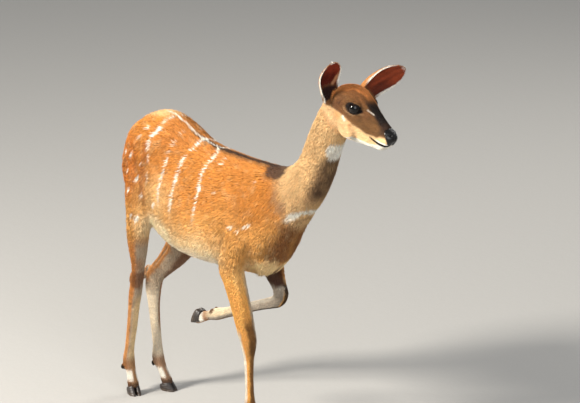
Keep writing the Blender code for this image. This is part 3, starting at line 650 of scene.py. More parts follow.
def mirrored(points):
    q = points.copy()
    q[:, 1] = -np.abs(q[:, 1])
    return q


def normals_of(data):
    flat = np.empty(len(data.vertices) * 3)
    data.vertex_normals.foreach_get("vector", flat)
    return flat.reshape(-1, 3)


def set_points(data, points):
    data.vertices.foreach_set("co", points.astype(np.float32).ravel())
    data.update()


def mesh_from(name, points, faces):
    data = bpy.data.meshes.new(name)
    data.vertices.add(len(points))
    data.vertices.foreach_set("co", points.astype(np.float32).ravel())
    data.loops.add(faces.size)
    data.loops.foreach_set("vertex_index", faces.astype(np.int32).ravel())
    data.polygons.add(len(faces))
    data.polygons.foreach_set("loop_start", np.arange(0, faces.size, faces.shape[1], dtype=np.int32))
    data.update(calc_edges=True)
    return data


# ---------------------------------------------------------------- where things are on the body
def ear_place(points, name):
    """Share of the ear's length, place across it, and place towards its hollow side."""
    root, tip, hollow = (np.array(v) for v in EARS[name][:3])
    run = tip - root
    length = np.linalg.norm(run)
    run = run / length
    hollow = hollow - run * (hollow @ run)
    hollow /= np.linalg.norm(hollow)
    across = np.cross(run, hollow)
    off = points - root
    return off @ run / length, off @ across, off @ hollow, run, across, hollow


def ear_share(points):
    """How much each point belongs to either ear, 0 to 1, and which."""
    best = np.zeros(len(points))
    which = np.zeros(len(points), int)
    for i, name in enumerate(EARS):
        t, s, n, *_ = ear_place(points, name)
        wide = np.interp(t, [r[0] for r in EAR], [r[1] for r in EAR]) * EARS[name][3]
        middle = n + 0.006 * np.sin(np.pi * np.clip(t, 0, 1))
        near = ease(0.14, 0.24, t) * ease(wide + 0.006, wide + 0.001, np.abs(s)) * (np.abs(middle) < 0.026) * (t < 1.2) * np.maximum(ease(0.0075, 0.0045, n), ease(0.20, 0.16, t))
        which = np.where(near > best, i, which)
        best = np.maximum(best, near)
    return best, which


LEG_LINES = {
    "fore_right": [r[:3] for r in FORE_R],
    "fore_left": [r[:3] for r in FORE_L[:5]],
    "fore_left_low": [r[:3] for r in FORE_L_LOW],
    "hind_right": [r[:3] for r in HIND_R],
    "hind_left": [r[:3] for r in HIND_L],
}


def leg_place(points):
    """The nearest limb of each point and how far down it, 0 at its top and 1 at the hoof."""
    best = np.full(len(points), 1e9)
    which = np.zeros(len(points), int)
    along = np.zeros(len(points))
    for i, line in enumerate(LEG_LINES.values()):
        d, t = line_distance(points, line)
        which = np.where(d < best, i, which)
        along = np.where(d < best, t, along)
        best = np.minimum(best, d)
    return which, along, best


def zones(points):
    """Soft shares of head, neck, limbs, lower limbs and tail at each point; the rest is trunk."""
    points = unturned(points)
    x, y, z = points.T
    head_line = (x - 0.172) * 0.62 + (z - 0.866) * 0.79
    head = ease(-0.012, 0.012, head_line) * (z > 0.78)
    neck = ease(-0.02, 0.04, (x - 0.014) * 0.914 + (z - 0.625) * 0.407) * (1 - head) * (z > 0.45)
    which, along, far = leg_place(points)
    limb = ease(0.47, 0.41, z) * (far < 0.07)
    low = ease(0.29, 0.24, z) * (far < 0.06) * (which != 1)
    low = np.where(which == 2, ease(0.03, 0.14, along) * (far < 0.05), low)
    limb = np.maximum(limb, low)
    tail = ease(-0.588, -0.597, x) * (np.abs(y) < 0.030) * (z > 0.48)
    return head, neck, limb, low, tail


def coat_depth(points):
    """How deep the skin lies under the tips of the coat, in metres."""
    head, neck, limb, low, tail = zones(points)
    x, y, z = unturned(points).T
    depth = 0.0065 - 0.0005 * neck
    depth = depth * (1 - limb) + 0.0038 * limb
    depth = depth * (1 - low) + 0.0016 * low
    depth = depth * (1 - head) + 0.0022 * head
    muzzle = ease(0.29, 0.335, x) * head
    depth = depth * (1 - muzzle) + 0.0010 * muzzle
    pad = ease(0.350, 0.362, x) * head
    depth = depth * (1 - pad)
    return depth * (1 - tail) + 0.0065 * tail


# ---------------------------------------------------------------- skin
SKIN_VOXEL = 0.0026
SKIN_FACES = 190000
COAT_SHARE = 1.0


def eye_axes(side):
    """Centre, outward, forward and upward axes of an eye and its lids."""
    centre = eye_place(side)
    ways = np.array([[0.40, side * 0.90, 0.13], [0.90, -side * 0.25, -0.36]])
    out, ahead = unit(spun(ways, np.full(2, TURN)))
    ahead = unit(ahead - out * (ahead @ out))
    up = np.cross(ahead, out) * -side
    return centre, out, ahead, up


LID_LONG, LID_FRONT, LID_HIGH, LID_LOW = 0.0152, 0.0192, 0.0096, 0.0092


def lid_place(points, side):
    """0 in the middle of the eye's opening, 1 on the lids' edge, more outside; and the places forward and up."""
    centre, out, ahead, up = eye_axes(side)
    off = points - centre
    u, v, w = off @ ahead, off @ up, off @ out
    half = np.where(u > 0, LID_FRONT, LID_LONG)
    share = np.abs(u) / half
    high = np.where(v > 0, LID_HIGH, LID_LOW)
    # the opening narrows to a corner in front
    high = high * np.where(u > 0, 1 - 0.35 * np.clip(share, 0, 1) ** 2, 1)
    metric = (share ** 2.0 + (np.abs(v) / high) ** 2.0) ** 0.5
    return np.where(w > 0, metric, 9.0), u, v, w


def shape_head(points):
    """Lids, nostrils, lips and hollows pressed into the head, as moves of its points."""
    p = points.copy()
    for side in (-1, 1):
        centre, out, ahead, up = eye_axes(side)
        metric, u, v, w = lid_place(p, side)
        off = p - centre
        far = np.linalg.norm(off, axis=1)
        way = off / np.maximum(far, 1e-9)[:, None]
        inside = ease(1.02, 0.90, metric)
        lid = EYE_R + 0.0019 * ease(1.75, 1.05, metric) + 0.0006 * (v > 0) * ease(1.5, 1.1, metric)
        crease = np.exp(-((metric - 1.62) / 0.13) ** 2) * (v > 0) * 0.0009
        share = ease(2.15, 1.25, metric) * (far < 0.034)
        target = lid * (1 - inside) + (EYE_R - 0.0045) * inside
        new = far * (1 - share) + target * share - crease * (far < 0.034)
        p = centre + way * new[:, None]
        # hollow in front of the eye and the tear gland below its corner
        q = p - (centre + ahead * 0.0245 - up * 0.003)
        d = np.linalg.norm(q / np.array([0.012, 0.010, 0.006]), axis=1)
        p = p - out * (0.0012 * ease(1.2, 0.0, d))[:, None]
    p = unturned(p)
    for side in (-1, 1):
        # nostril: a comma opening out and back
        for place, reach, depth in (
            ((0.3690, side * 0.0098, 0.8565), (0.0052, 0.0032, 0.0036), 0.0062),
            ((0.3645, side * 0.0128, 0.8590), (0.0046, 0.0028, 0.0022), 0.0040),
        ):
            d = np.linalg.norm((p - np.array(place)) / np.array(reach), axis=1)
            p = p - np.array([0.55, side * 0.75, 0.0]) * (depth * ease(1.35, 0.25, d))[:, None]
        # wing of the nostril
        d = np.linalg.norm((p - np.array([0.3650, side * 0.0150, 0.8625])) / np.array([0.011, 0.006, 0.005]), axis=1)
        p = p + np.array([0.2, side * 0.9, 0.35]) * (0.0014 * ease(1.2, 0.1, d))[:, None]
    # lips: a groove from under the nose to the corner of the mouth, fuller beside it
    side_on = mirrored(p)
    d, along = line_distance(side_on, MOUTH)
    front = (p[:, 0] > 0.300)
    away = unit(p - np.array([0.325, 0.0, 0.846]))
    p = p - away * ((0.0024 * np.exp(-(d / 0.0014) ** 2) - 0.0007 * np.exp(-((d - 0.0035) / 0.0018) ** 2)) * front)[:, None]
    # groove down the middle of nose and upper lip
    d, _ = line_distance(p, [(0.380, 0.0, 0.850), (0.372, 0.0, 0.832)])
    p = p - np.array([0.8, 0, -0.3]) * (0.0016 * np.exp(-(p[:, 1] / 0.0011) ** 2) * (d < 0.008))[:, None]
    return turned(p)


MOUTH = [
    (0.3740, 0.0, 0.8300), (0.3640, -0.0110, 0.8302), (0.3529, -0.0194, 0.8325),
    (0.3385, -0.0222, 0.8357), (0.3244, -0.0232, 0.8400), (0.3148, -0.0246, 0.8452),
]


# creases and hollows of the body: line, depth, half width; both sides
CREASES = [
    ([(-0.168, -0.095, 0.462), (-0.160, -0.097, 0.500), (-0.152, -0.092, 0.560)], 0.0045, 0.0130),
    ([(-0.055, -0.040, 0.690), (-0.012, -0.064, 0.610), (0.000, -0.060, 0.540)], 0.0030, 0.0150),
    ([(-0.128, -0.052, 0.690), (-0.148, -0.088, 0.610), (-0.152, -0.095, 0.560)], 0.0022, 0.0160),
    ([(-0.445, -0.100, 0.640), (-0.425, -0.104, 0.560), (-0.437, -0.090, 0.478)], 0.0030, 0.0150),
    ([(-0.552, -0.072, 0.650), (-0.547, -0.080, 0.560), (-0.541, -0.078, 0.470)], 0.0026, 0.0120),
    ([(-0.085, -0.092, 0.548), (-0.060, -0.084, 0.505), (-0.095, -0.098, 0.470)], 0.0022, 0.0110),
    ([(-0.112, -0.102, 0.450), (-0.106, -0.084, 0.370), (-0.104, -0.066, 0.300)], 0.0018, 0.0065),
    ([(0.030, -0.045, 0.585), (0.060, -0.040, 0.600), (0.084, -0.020, 0.605), (0.088, 0.0, 0.606)], 0.0030, 0.0075),
    ([(0.150, -0.035, 0.800), (0.110, -0.044, 0.740), (0.060, -0.050, 0.660)], 0.0020, 0.0150),
]
HOLLOWS = [((-0.405, -0.100, 0.655), (0.055, 0.05, 0.050), 0.0050), ((-0.035, -0.040, 0.650), (0.040, 0.05, 0.045), 0.0025)]


def shape_body(points, normals):
    """Creases between the muscles, the hollow of the flank and faint ribs."""
    q = mirrored(unturned(points))
    move = np.zeros(len(points))
    for line, depth, half in CREASES:
        d, t = line_distance(q, line)
        fade = ease(0.0, 0.12, t) * ease(1.0, 0.85, t)
        move -= depth * np.exp(-(d / half) ** 2) * (0.25 + 0.75 * fade)
    for place, reach, depth in HOLLOWS:
        move -= depth * blob(q, place, reach)
    x, y, z = q.T
    along = x * 0.97 + z * 0.22
    ribs = 0.5 + 0.5 * np.cos(along * 2 * np.pi / 0.027)
    share = ease(-0.355, -0.315, x) * ease(-0.165, -0.200, x) * ease(0.46, 0.50, z) * ease(0.66, 0.62, z) * (np.abs(normals[:, 1]) > 0.35)
    move -= 0.0009 * ribs * share
    return points + normals * move[:, None]


def shape_limbs(points, normals):
    """Tendons down the cannons and the hollow above the hock."""
    which, along, far = leg_place(points)
    x, y, z = points.T
    move = np.zeros(len(points))
    side_face = np.abs(normals[:, 1])
    for i, line in enumerate(LEG_LINES.values()):
        line = np.array(line)
        here = which == i
        if i in (0, 3, 4):
            cx = np.interp(z, line[::-1, 2], line[::-1, 0])
            cannon = here * ease(0.235, 0.205, z) * ease(0.085, 0.105, z)
            groove = np.exp(-((x - (cx - 0.0022)) / 0.0028) ** 2)
            move -= 0.0012 * cannon * groove * side_face
        if i in (3, 4):
            top, bottom = (0.425, 0.325) if i == 3 else (0.405, 0.325)
            cx = np.interp(z, line[::-1, 2], line[::-1, 0])
            string = here * ease(top, top - 0.03, z) * ease(bottom - 0.005, bottom + 0.02, z)
            move -= 0.0042 * string * np.exp(-((x - (cx - 0.011)) / 0.0055) ** 2) * side_face
    return points + normals * move[:, None]


def build_skin():
    body = flesh_body("skin", folder, SKIN_VOXEL, 0.0040, 0.0150)
    data = body.data
    points = points_of(data)
    normals = normals_of(data)
    points = shape_body(shape_limbs(points, normals), normals)
    points = points - normals * coat_depth(points)[:, None]
    set_points(data, points)
    # the ears and the tail, thinner than the solids by their hair, become part of the same skin
    for name in EARS:
        count, round_ = ((64, 40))
        join(body, as_object(name, thin_ear(name, count, round_), folder))
    thin_tail = [(x, y, z, max(0.0015, f - 0.0060), max(0.0015, b - 0.0060), max(0.0018, w - 0.0070)) for x, y, z, f, b, w in TAIL[:-1]]
    join(body, as_object("tail", limb_loft("tail", thin_tail, 40, 0.0), folder))
    # more points where the face is
    mesh = bmesh.new()
    mesh.from_mesh(body.data)
    places = [(eye_place(s) + eye_axes(s)[1] * 0.010, 0.033) for s in (-1, 1)] + [(turned([(0.358, 0.0, 0.845)])[0], 0.040)]
    for _ in range(1):
        edges = set()
        for face in mesh.faces:
            c = np.array(face.calc_center_median())
            if any(np.linalg.norm(c - centre) < reach for centre, reach in places):
                edges.update(face.edges)
        bmesh.ops.subdivide_edges(mesh, edges=list(edges), cuts=1, use_grid_fill=True, smooth=0.0)
    mesh.to_mesh(body.data)
    mesh.free()
    set_points(body.data, shape_head(points_of(body.data)))
    if len(body.data.polygons) * 2 > SKIN_FACES:
        thin = body.modifiers.new("thin", "DECIMATE")
        total = sum(len(f.vertices) - 2 for f in body.data.polygons)
        thin.ratio = SKIN_FACES / total
        settled(body)
    body.data.shade_smooth()
    return body


def join(body, piece):
    step = body.modifiers.new(piece.name, "BOOLEAN")
    step.operation = "UNION"
    step.solver = "EXACT"
    step.object = piece
    settled(body)
    bpy.data.objects.remove(piece, do_unlink=True)


def thin_ear(name, count, points):
    """The ear of the solids less the depth of its hair, with folds running up inside it."""
    root, tip, hollow = (np.array(v) for v in EARS[name][:3])
    run = (tip - root) * 0.985
    way = run / np.linalg.norm(run)
    hollow = hollow - way * (hollow @ way)
    hollow /= np.linalg.norm(hollow)
    across = np.cross(way, hollow)
    rings = []
    for t, _, _, wide, back, inner in curve_through([(t, 0.0, 0.0, *rest) for t, *rest in EAR], count):
        wide, back = max(wide * EARS[name][3] - 0.0016, 0.0016), max(back * EARS[name][3] ** 1.6 - 0.0012, 0.0008)
        inner = max(inner, min(back - 0.0032, inner * 1.5)) if inner > 0 else inner
        mid = root + run * t - hollow * 0.010 * math.sin(math.pi * min(max(t, 0), 1)) * 0.6
        deep = min(max((t - 0.25) / 0.2, 0.0), 1.0) * min(max((0.95 - t) / 0.4, 0.0), 1.0)
        ring = []
        for k in range(points):
            a = math.pi * (k + 0.5) / points
            ring.append(Vector(mid - across * wide * math.cos(a) - hollow * back * math.sin(a) ** 0.9))
        for k in range(points):
            a = math.pi * (points - k - 0.5) / points
            fold = deep * 0.0012 * (math.cos(7 * a) * math.sin(a) ** 2)
            depth = -inner * math.sin(a) ** 0.7 + 0.0010 + fold
            ring.append(Vector(mid - across * (wide - 0.0008) * math.cos(a) + hollow * depth))
        rings.append(ring)
    return skin_rings(name, rings)


# ---------------------------------------------------------------- markings
RUFOUS = srgb(200, 131, 57)
GOLD = srgb(218, 164, 92)
STRAW = srgb(240, 212, 164)
TAN = srgb(226, 190, 138)
DEEP = srgb(168, 98, 48)
BROWN = srgb(112, 70, 42)
DARK = srgb(60, 41, 30)
BLACK = srgb(30, 23, 20)
WHITE = srgb(243, 236, 222)
CREAM = srgb(226, 212, 188)
GREY = srgb(182, 166, 144)
EAR_RED = srgb(120, 58, 38)
# side of the face: brown hair, darkened further as painted shadow of the ear
FACE_BROWN_AND_SHADE = srgb(112, 78, 45)

# the white stripes down the side, top to bottom, on the right; the left has the same
STRIPES = [
    [(-0.370, -0.026, 0.730), (-0.367, -0.045, 0.720), (-0.368, -0.059, 0.708), (-0.370, -0.071, 0.695), (-0.368, -0.083, 0.671), (-0.369, -0.090, 0.651), (-0.371, -0.101, 0.622), (-0.374, -0.106, 0.601), (-0.374, -0.109, 0.576), (-0.372, -0.111, 0.545)],
    [(-0.318, -0.004, 0.717), (-0.315, -0.020, 0.714), (-0.311, -0.041, 0.703), (-0.315, -0.058, 0.691), (-0.318, -0.071, 0.674), (-0.318, -0.085, 0.653), (-0.317, -0.095, 0.629), (-0.321, -0.103, 0.604), (-0.324, -0.108, 0.581), (-0.326, -0.111, 0.553), (-0.327, -0.112, 0.527)],
    [(-0.255, -0.007, 0.708), (-0.240, -0.025, 0.703), (-0.235, -0.040, 0.694), (-0.236, -0.058, 0.679), (-0.239, -0.072, 0.662), (-0.235, -0.085, 0.638), (-0.231, -0.091, 0.623), (-0.234, -0.100, 0.598), (-0.236, -0.106, 0.570), (-0.238, -0.109, 0.550), (-0.239, -0.110, 0.525)],
]
# shorter white strokes: line, half width, how white
DASHES = [
    ([(-0.426, -0.052, 0.733), (-0.438, -0.070, 0.715)], 0.0048, 1.0),
    ([(-0.424, -0.012, 0.754), (-0.428, -0.028, 0.750), (-0.428, -0.044, 0.741)], 0.0022, 0.60),
    ([(-0.444, -0.078, 0.704), (-0.441, -0.084, 0.690)], 0.0036, 0.95),
    ([(-0.438, -0.089, 0.675), (-0.433, -0.095, 0.655)], 0.0030, 0.65),
    ([(-0.433, -0.100, 0.632), (-0.434, -0.103, 0.605)], 0.0030, 0.60),
    ([(-0.118, -0.095, 0.556), (-0.106, -0.093, 0.554)], 0.0028, 0.80),
    ([(-0.090, -0.092, 0.551), (-0.084, -0.090, 0.552)], 0.0022, 0.60), ([(-0.068, -0.086, 0.562), (-0.054, -0.080, 0.570)], 0.0036, 0.85),
]
# centre, how far it runs along the hair and across it, how white it is
SPOTS = [
    ((-0.538, -0.087, 0.662), 0.0085, 0.0045, 1.0), ((-0.503, -0.095, 0.663), 0.0100, 0.0050, 1.0),
    ((-0.461, -0.096, 0.649), 0.0060, 0.0035, 0.8), ((-0.527, -0.089, 0.616), 0.0075, 0.0045, 1.0),
    ((-0.474, -0.099, 0.607), 0.0110, 0.0050, 1.0), ((-0.510, -0.100, 0.572), 0.0095, 0.0048, 1.0),
    ((-0.457, -0.100, 0.567), 0.0090, 0.0045, 0.9), ((-0.496, -0.105, 0.509), 0.0100, 0.0060, 1.0),
    ((-0.472, -0.102, 0.505), 0.0125, 0.0065, 1.0), ((-0.398, -0.108, 0.552), 0.0110, 0.0065, 0.8),
    ((-0.478, -0.079, 0.714), 0.0110, 0.0040, 0.6), ((-0.464, -0.064, 0.729), 0.0130, 0.0045, 0.7),
    ((-0.201, -0.030, 0.696), 0.0060, 0.0035, 0.6), ((-0.198, -0.044, 0.686), 0.0055, 0.0035, 0.6),
    ((-0.181, -0.083, 0.626), 0.0050, 0.0035, 0.5), ((-0.205, -0.075, 0.655), 0.0050, 0.0035, 0.5),
    ((-0.053, -0.053, 0.674), 0.0050, 0.0032, 0.5),
]


def stroke_of(points):
    return noise(points * np.array([0.55, 1, 0.6]), 0.0075, 5)


def lay(points, colour, over, share):
    return colour * (1 - share[:, None]) + over * share[:, None]


def markings(skin_points, skin_normals):
    """The colour of skin and hair at each place of the skin, with some painted shade and painted light. The marks are
    laid out on the outside of the coat.
    """
    head, neck, limb, low, tail = zones(skin_points)
    points, normals = straight(skin_points + skin_normals * coat_depth(skin_points)[:, None], skin_normals)
    x, y, z = points.T
    nx, ny, nz = normals.T
    q = mirrored(points)
    which, along, far = leg_place(points)
    rough = noise(points, 0.012, 1)
    fine = noise(points, 0.0045, 2)
    broad = noise(points, 0.05, 3)
    c = np.tile(RUFOUS, (len(points), 1))
    # trunk: deeper along the back, gold on the sides, straw in the groin, cream below
    c = lay(points, c, DEEP, 0.30 * ease(0.66, 0.73, z + 0.02 * broad) * (1 - neck) * ease(-0.46, -0.40, x))
    c = lay(points, c, GOLD, 0.75 * ease(0.63, 0.50, z + 0.03 * broad))
    c = lay(points, c, STRAW, 0.92 * ease(0.545, 0.45, z + 0.015 * rough) * ease(-0.08, -0.22, x) * ease(-0.505, -0.455, x) * (1 - limb))
    c = lay(points, c, srgb(246, 224, 184), 0.97 * ease(0.0, 0.45, blob(q, (-0.400, -0.09, 0.480), (0.085, 0.07, 0.072))))
    # painted sheen: a paler patch over the middle of each flank
    c = lay(points, c, srgb(240, 198, 136), 0.75 * blob(q, (-0.385, -0.10, 0.570), (0.12, 0.06, 0.10)))
    c = lay(points, c, CREAM, ease(-0.35, -0.85, nz + 0.08 * rough) * ease(0.50, 0.44, z) * (1 - limb) * ease(-0.05, -0.12, x) * 0.9)
    # painted shade along the fold in front of the thigh
    d, _ = line_distance(q, [(-0.452, -0.086, 0.690), (-0.448, -0.100, 0.620), (-0.452, -0.102, 0.560)])
    c = lay(points, c, DEEP, 0.55 * ease(0.018, 0.004, d + 0.006 * stroke_of(points)))
    c = lay(points, c, srgb(206, 122, 46), 0.75 * ease(0.0, 0.5, blob(q, (-0.530, -0.08, 0.630), (0.090, 0.07, 0.135))))
    shade = noise(points * np.array([1.0, 1.0, 0.40]), 0.011, 17)
    c = lay(points, c, srgb(138, 78, 36), 0.60 * ease(0.15, 0.85, shade) * blob(q, (-0.505, -0.09, 0.620), (0.080, 0.06, 0.110)))
    # painted light: a paler tan over the top of the croup
    c = lay(points, c, TAN, 0.62 * ease(0.05, 0.5, blob(q, (-0.490, 0.0, 0.765), (0.11, 0.060, 0.050))))
    # chest: dull brown down its front as painted shade, with off-white tufts between the forelegs
    d, _ = line_distance(q, [(0.044, -0.024, 0.575), (0.022, -0.028, 0.535), (-0.010, -0.026, 0.495)])
    c = lay(points, c, srgb(122, 74, 38), 0.88 * ease(0.050, 0.012, d + 0.006 * rough))
    c = lay(points, c, srgb(250, 214, 158), 0.95 * ease(0.0, 0.50, blob(q, (-0.056, -0.030, 0.438), (0.092, 0.058, 0.070)) + 0.20 * stroke_of(points)))
    # neck: paler tan, brown down its front, partly its hair and partly painted shade, dark and thin-haired round its
    # base
    c = lay(points, c, TAN, 0.85 * neck)
    # partly painted shade: the forward-facing side of the neck is laid brown over its tan
    front = ease(0.25, 0.85, nx * 0.90 - nz * 0.42) * neck
    streaks = noise(points * np.array([1.0, 1.0, 0.35]), 0.010, 8)
    c = lay(points, c, BROWN, front * ease(0.60, 0.66, z) * ease(0.80, 0.72, z) * (0.42 + 0.18 * streaks))
    d, _ = line_distance(q, [(0.162, -0.004, 0.752), (0.150, -0.004, 0.715), (0.130, -0.010, 0.678)])
    c = lay(points, c, srgb(78, 54, 38), ease(0.044, 0.008, d + 0.006 * streaks) * np.clip(0.82 + 0.25 * streaks, 0, 0.97))
    c = lay(points, c, srgb(80, 57, 44), 0.95 * ease(0.05, 0.40, blob(q, (-0.018, -0.018, 0.703), (0.056, 0.044, 0.038)) + 0.14 * stroke_of(points)))
    c = lay(points, c, srgb(154, 116, 84), 0.80 * ease(-0.35, 0.55, streaks) * blob(q, (0.026, -0.055, 0.640), (0.062, 0.05, 0.085)) * (1 - head))
    # dark line down the back, white over the loins
    back = ease(0.015, 0.009, np.abs(y) + 0.002 * rough) * (nz > 0.2)
    c = lay(points, c, DARK, 0.55 * ease(0.024, 0.012, np.abs(y) + 0.004 * rough) * (nz > 0.2) * ease(-0.285, -0.255, x) * ease(0.0, -0.05, x))
    c = lay(points, c, srgb(44, 31, 26), 0.90 * ease(0.011, 0.006, np.abs(y) + 0.002 * rough) * (nz > 0.2) * ease(-0.400, -0.300, x) * ease(0.0, -0.05, x))
    white = np.zeros(len(points))
    dash = noise(points * np.array([0.5, 1.0, 1.0]), 0.008, 6)
    white = np.maximum(white, back * ease(-0.470, -0.455, x) * ease(-0.245, -0.275, x) * ease(0.0042, 0.0020, np.abs(y + 0.0016 * broad) + 0.0014 * dash) * (0.75 + 0.25 * dash))
    # the stripes, in short strokes that run with the hair
    stroke = noise(points * np.array([0.55, 1, 1]), 0.0075, 5)
    for i, line in enumerate(STRIPES):
        d, t = line_distance(q, line)
        wide = 0.0036 - 0.0012 * t + 0.0014 * stroke + 0.0007 * fine
        fade = ease(1.0, 0.80, t)
        white = np.maximum(white, ease(wide + 0.0012, wide - 0.0006, d) * fade * ease(-0.85, -0.35, stroke + 0.25 * (1 - t)))
    for line, wide, much in DASHES:
        d, t = line_distance(q, line)
        white = np.maximum(white, much * ease(wide + 0.0014, wide - 0.0006, d + 0.0013 * stroke + 0.0008 * fine))
    lie = unit(np.array([-0.62, 0.0, -0.78]))
    for place, run, wide, much in SPOTS:
        off = q - np.array(place)
        a = off @ lie
        b = np.linalg.norm(off - a[:, None] * lie, axis=1)
        white = np.maximum(white, much * ease(1.15, 0.75, np.hypot(a / run, b / wide) + 0.22 * fine))
    white *= (1 - head) * (1 - limb)
    # throat patch and the band across the base of the neck
    patch = blob(q, (0.177, -0.010, 0.788), (0.028, 0.032, 0.042))
    white = np.maximum(white, ease(0.12, 0.40, patch + 0.10 * stroke) * (1 - head))
    behind = 0.9 * ease(0.10, 0.45, blob(q, (0.186, -0.043, 0.900), (0.022, 0.016, 0.011)) + 0.10 * stroke)
    d, t = line_distance(q, [(0.046, -0.045, 0.592), (0.062, -0.040, 0.606), (0.078, -0.029, 0.612), (0.090, -0.013, 0.617), (0.092, 0.0, 0.617)])
    white = np.maximum(white, 0.97 * ease(0.0150 - 0.006 * t, 0.0085 - 0.004 * t, d + 0.0040 * stroke + 0.002 * rough))
    white = np.maximum(white, behind)
    c = lay(points, c, WHITE, np.clip(white, 0, 1))
    # painted shade in the crease under the band
    d, _ = line_distance(q, [(0.058, -0.034, 0.588), (0.073, -0.016, 0.592), (0.082, 0.0, 0.600)])
    c = lay(points, c, BROWN, 0.75 * ease(0.0085, 0.003, d))
    # tail: rufous above, white edges and underside, dark towards the tip
    c = lay(points, c, DEEP, tail * 0.6)
    c = lay(points, c, WHITE, tail * ease(0.35, 0.75, np.maximum(np.abs(ny), nx)) * 0.9)
    c = lay(points, c, DARK, tail * ease(0.545, 0.515, z) * 0.85)
    # limbs
    outer = ny * np.where(np.isin(which, (0, 3)), -1.0, 1.0)
    fore = np.isin(which, (0, 1, 2))
    leg = limb
    base = np.where(fore[:, None], srgb(255, 186, 100), srgb(206, 134, 70))
    c = c * (1 - 0.85 * leg[:, None]) + base * 0.85 * leg[:, None]
    # lifted lower leg: its front faces down, its inner side the camera
    ahead = np.where(which == 2, -nz, nx)
    inner = ease(0.05, 0.55, -outer)
    # painted shade of the body: the inner side of the lifted leg is laid a darker grey than the other forelegs
    c = lay(points, c, np.where((which == 2)[:, None], srgb(150, 142, 130), GREY), leg * fore * inner * 0.95)
    c = lay(points, c, WHITE, leg * fore * np.where(which == 0, ease(-0.22, 0.12, -ahead - 0.10 * rough), ease(0.35, 0.8, -ahead)) * np.where(which == 2, ease(0.35, 0.50, along), ease(0.300, 0.262, z)) * 0.9)
    dark_front = leg * fore * ease(0.70, 0.95, ahead + 0.10 * rough) * ease(0.345, 0.29, np.where(which == 2, 0.2, z))
    c = lay(points, c, srgb(92, 56, 32), 0.80 * dark_front * np.where(which == 2, 0.0, 1.0))
    c = lay(points, c, DARK, 0.40 * leg * (which == 0) * blob(points, (-0.092, -0.046, 0.240), (0.030, 0.034, 0.060)) * ease(-0.1, 0.6, nx))
    # painted light on the front of the right upper foreleg
    c = lay(points, c, srgb(255, 208, 138), 0.50 * (which == 0) * blob(points, (-0.100, -0.080, 0.432), (0.030, 0.045, 0.065)) * ease(0.3, 0.8, nx))
    c = lay(points, c, srgb(150, 98, 58), 0.8 * leg * (which == 1) * (1 - inner))
    rim = np.where(which == 1, ease(0.12, 0.46, 0.64 * nx + 0.77 * ny), np.maximum(ease(0.30, 0.62, 0.64 * nx + 0.77 * ny), ease(0.55, 0.85, -nz)) * ease(0.50, 0.35, along))
    c = lay(points, c, srgb(176, 164, 146), 0.90 * leg * (which == 1) * ease(0.15, -0.25, ny) * ease(0.362, 0.350, z))
    c = lay(points, c, srgb(226, 206, 172), 0.85 * leg * (which == 2) * ease(0.35, -0.10, ahead) * ease(0.40, 0.52, along))
    # painted shade under the body: the upward side of the lifted leg above its middle in grey-white
    c = lay(points, c, srgb(178, 168, 152), 0.90 * leg * (which == 2) * ease(0.2, 0.5, -ahead) * ease(0.55, 0.45, along))
    c = lay(points, c, srgb(80, 58, 42), 0.75 * leg * (which == 2) * ease(0.60, 0.88, ahead) * ease(0.45, 0.55, along) * ease(0.90, 0.80, along))
    c = lay(points, c, srgb(34, 22, 17), 0.94 * leg * ((which == 1) | (which == 2)) * rim * ease(0.40, 0.37, z))
    # brown inside and in front of the lifted forearm, painted shade of the body
    c = lay(points, c, srgb(76, 42, 24), 0.93 * (which <= 2) * (y > 0) * (x > -0.20) * ease(0.370, 0.383, z + 0.003 * rough) * ease(0.475, 0.43, z) * ease(0.35, -0.1, outer))
    hind = leg * (~fore)
    c = lay(points, c, GREY, hind * np.maximum(ease(0.15, 0.65, nx), inner) * 0.9)
    c = lay(points, c, np.where((which == 3)[:, None], srgb(238, 208, 158), srgb(236, 220, 194)), hind * low * ease(0.85, 0.30, outer) * 0.9)
    c = lay(points, c, srgb(214, 156, 98), hind * low * ease(0.55, 0.95, outer - nx * 0.5) * 0.70)
    c = lay(points, c, srgb(176, 114, 60), (which == 3) * 0.80 * blob(points, (-0.532, -0.066, 0.368), (0.046, 0.034, 0.040)))
    c = lay(points, c, srgb(126, 78, 44), (which == 3) * 0.80 * ease(0.0, 0.45, blob(points, (-0.538, -0.050, 0.324), (0.044, 0.036, 0.044)) + 0.22 * stroke))
    c = lay(points, c, srgb(190, 130, 72), (which == 4) * 0.92 * ease(0.26, -0.06, nx + 0.12 * stroke) * ease(0.275, 0.300, z) * ease(0.46, 0.42, z))
    d, t = line_distance(points, [(-0.440, 0.070, 0.425), (-0.484, 0.064, 0.372), (-0.518, 0.057, 0.333), (-0.552, 0.053, 0.300)])
    c = lay(points, c, srgb(118, 68, 36), (which == 4) * (0.95 - 0.35 * t) * ease(0.028 - 0.014 * t, 0.013 - 0.006 * t, d + 0.003 * stroke))
    c = lay(points, c, srgb(150, 98, 58), (which == 4) * 0.85 * ease(0.50, 0.85, 0.64 * nx + 0.77 * ny) * ease(0.14, 0.19, z) * ease(0.33, 0.30, z))
    for px, py, pz in ((-0.588, -0.036, 0.300), (-0.614, 0.038, 0.282)):
        c = lay(points, c, DARK, 0.85 * blob(points, (px, py, pz), (0.022, 0.022, 0.034)))
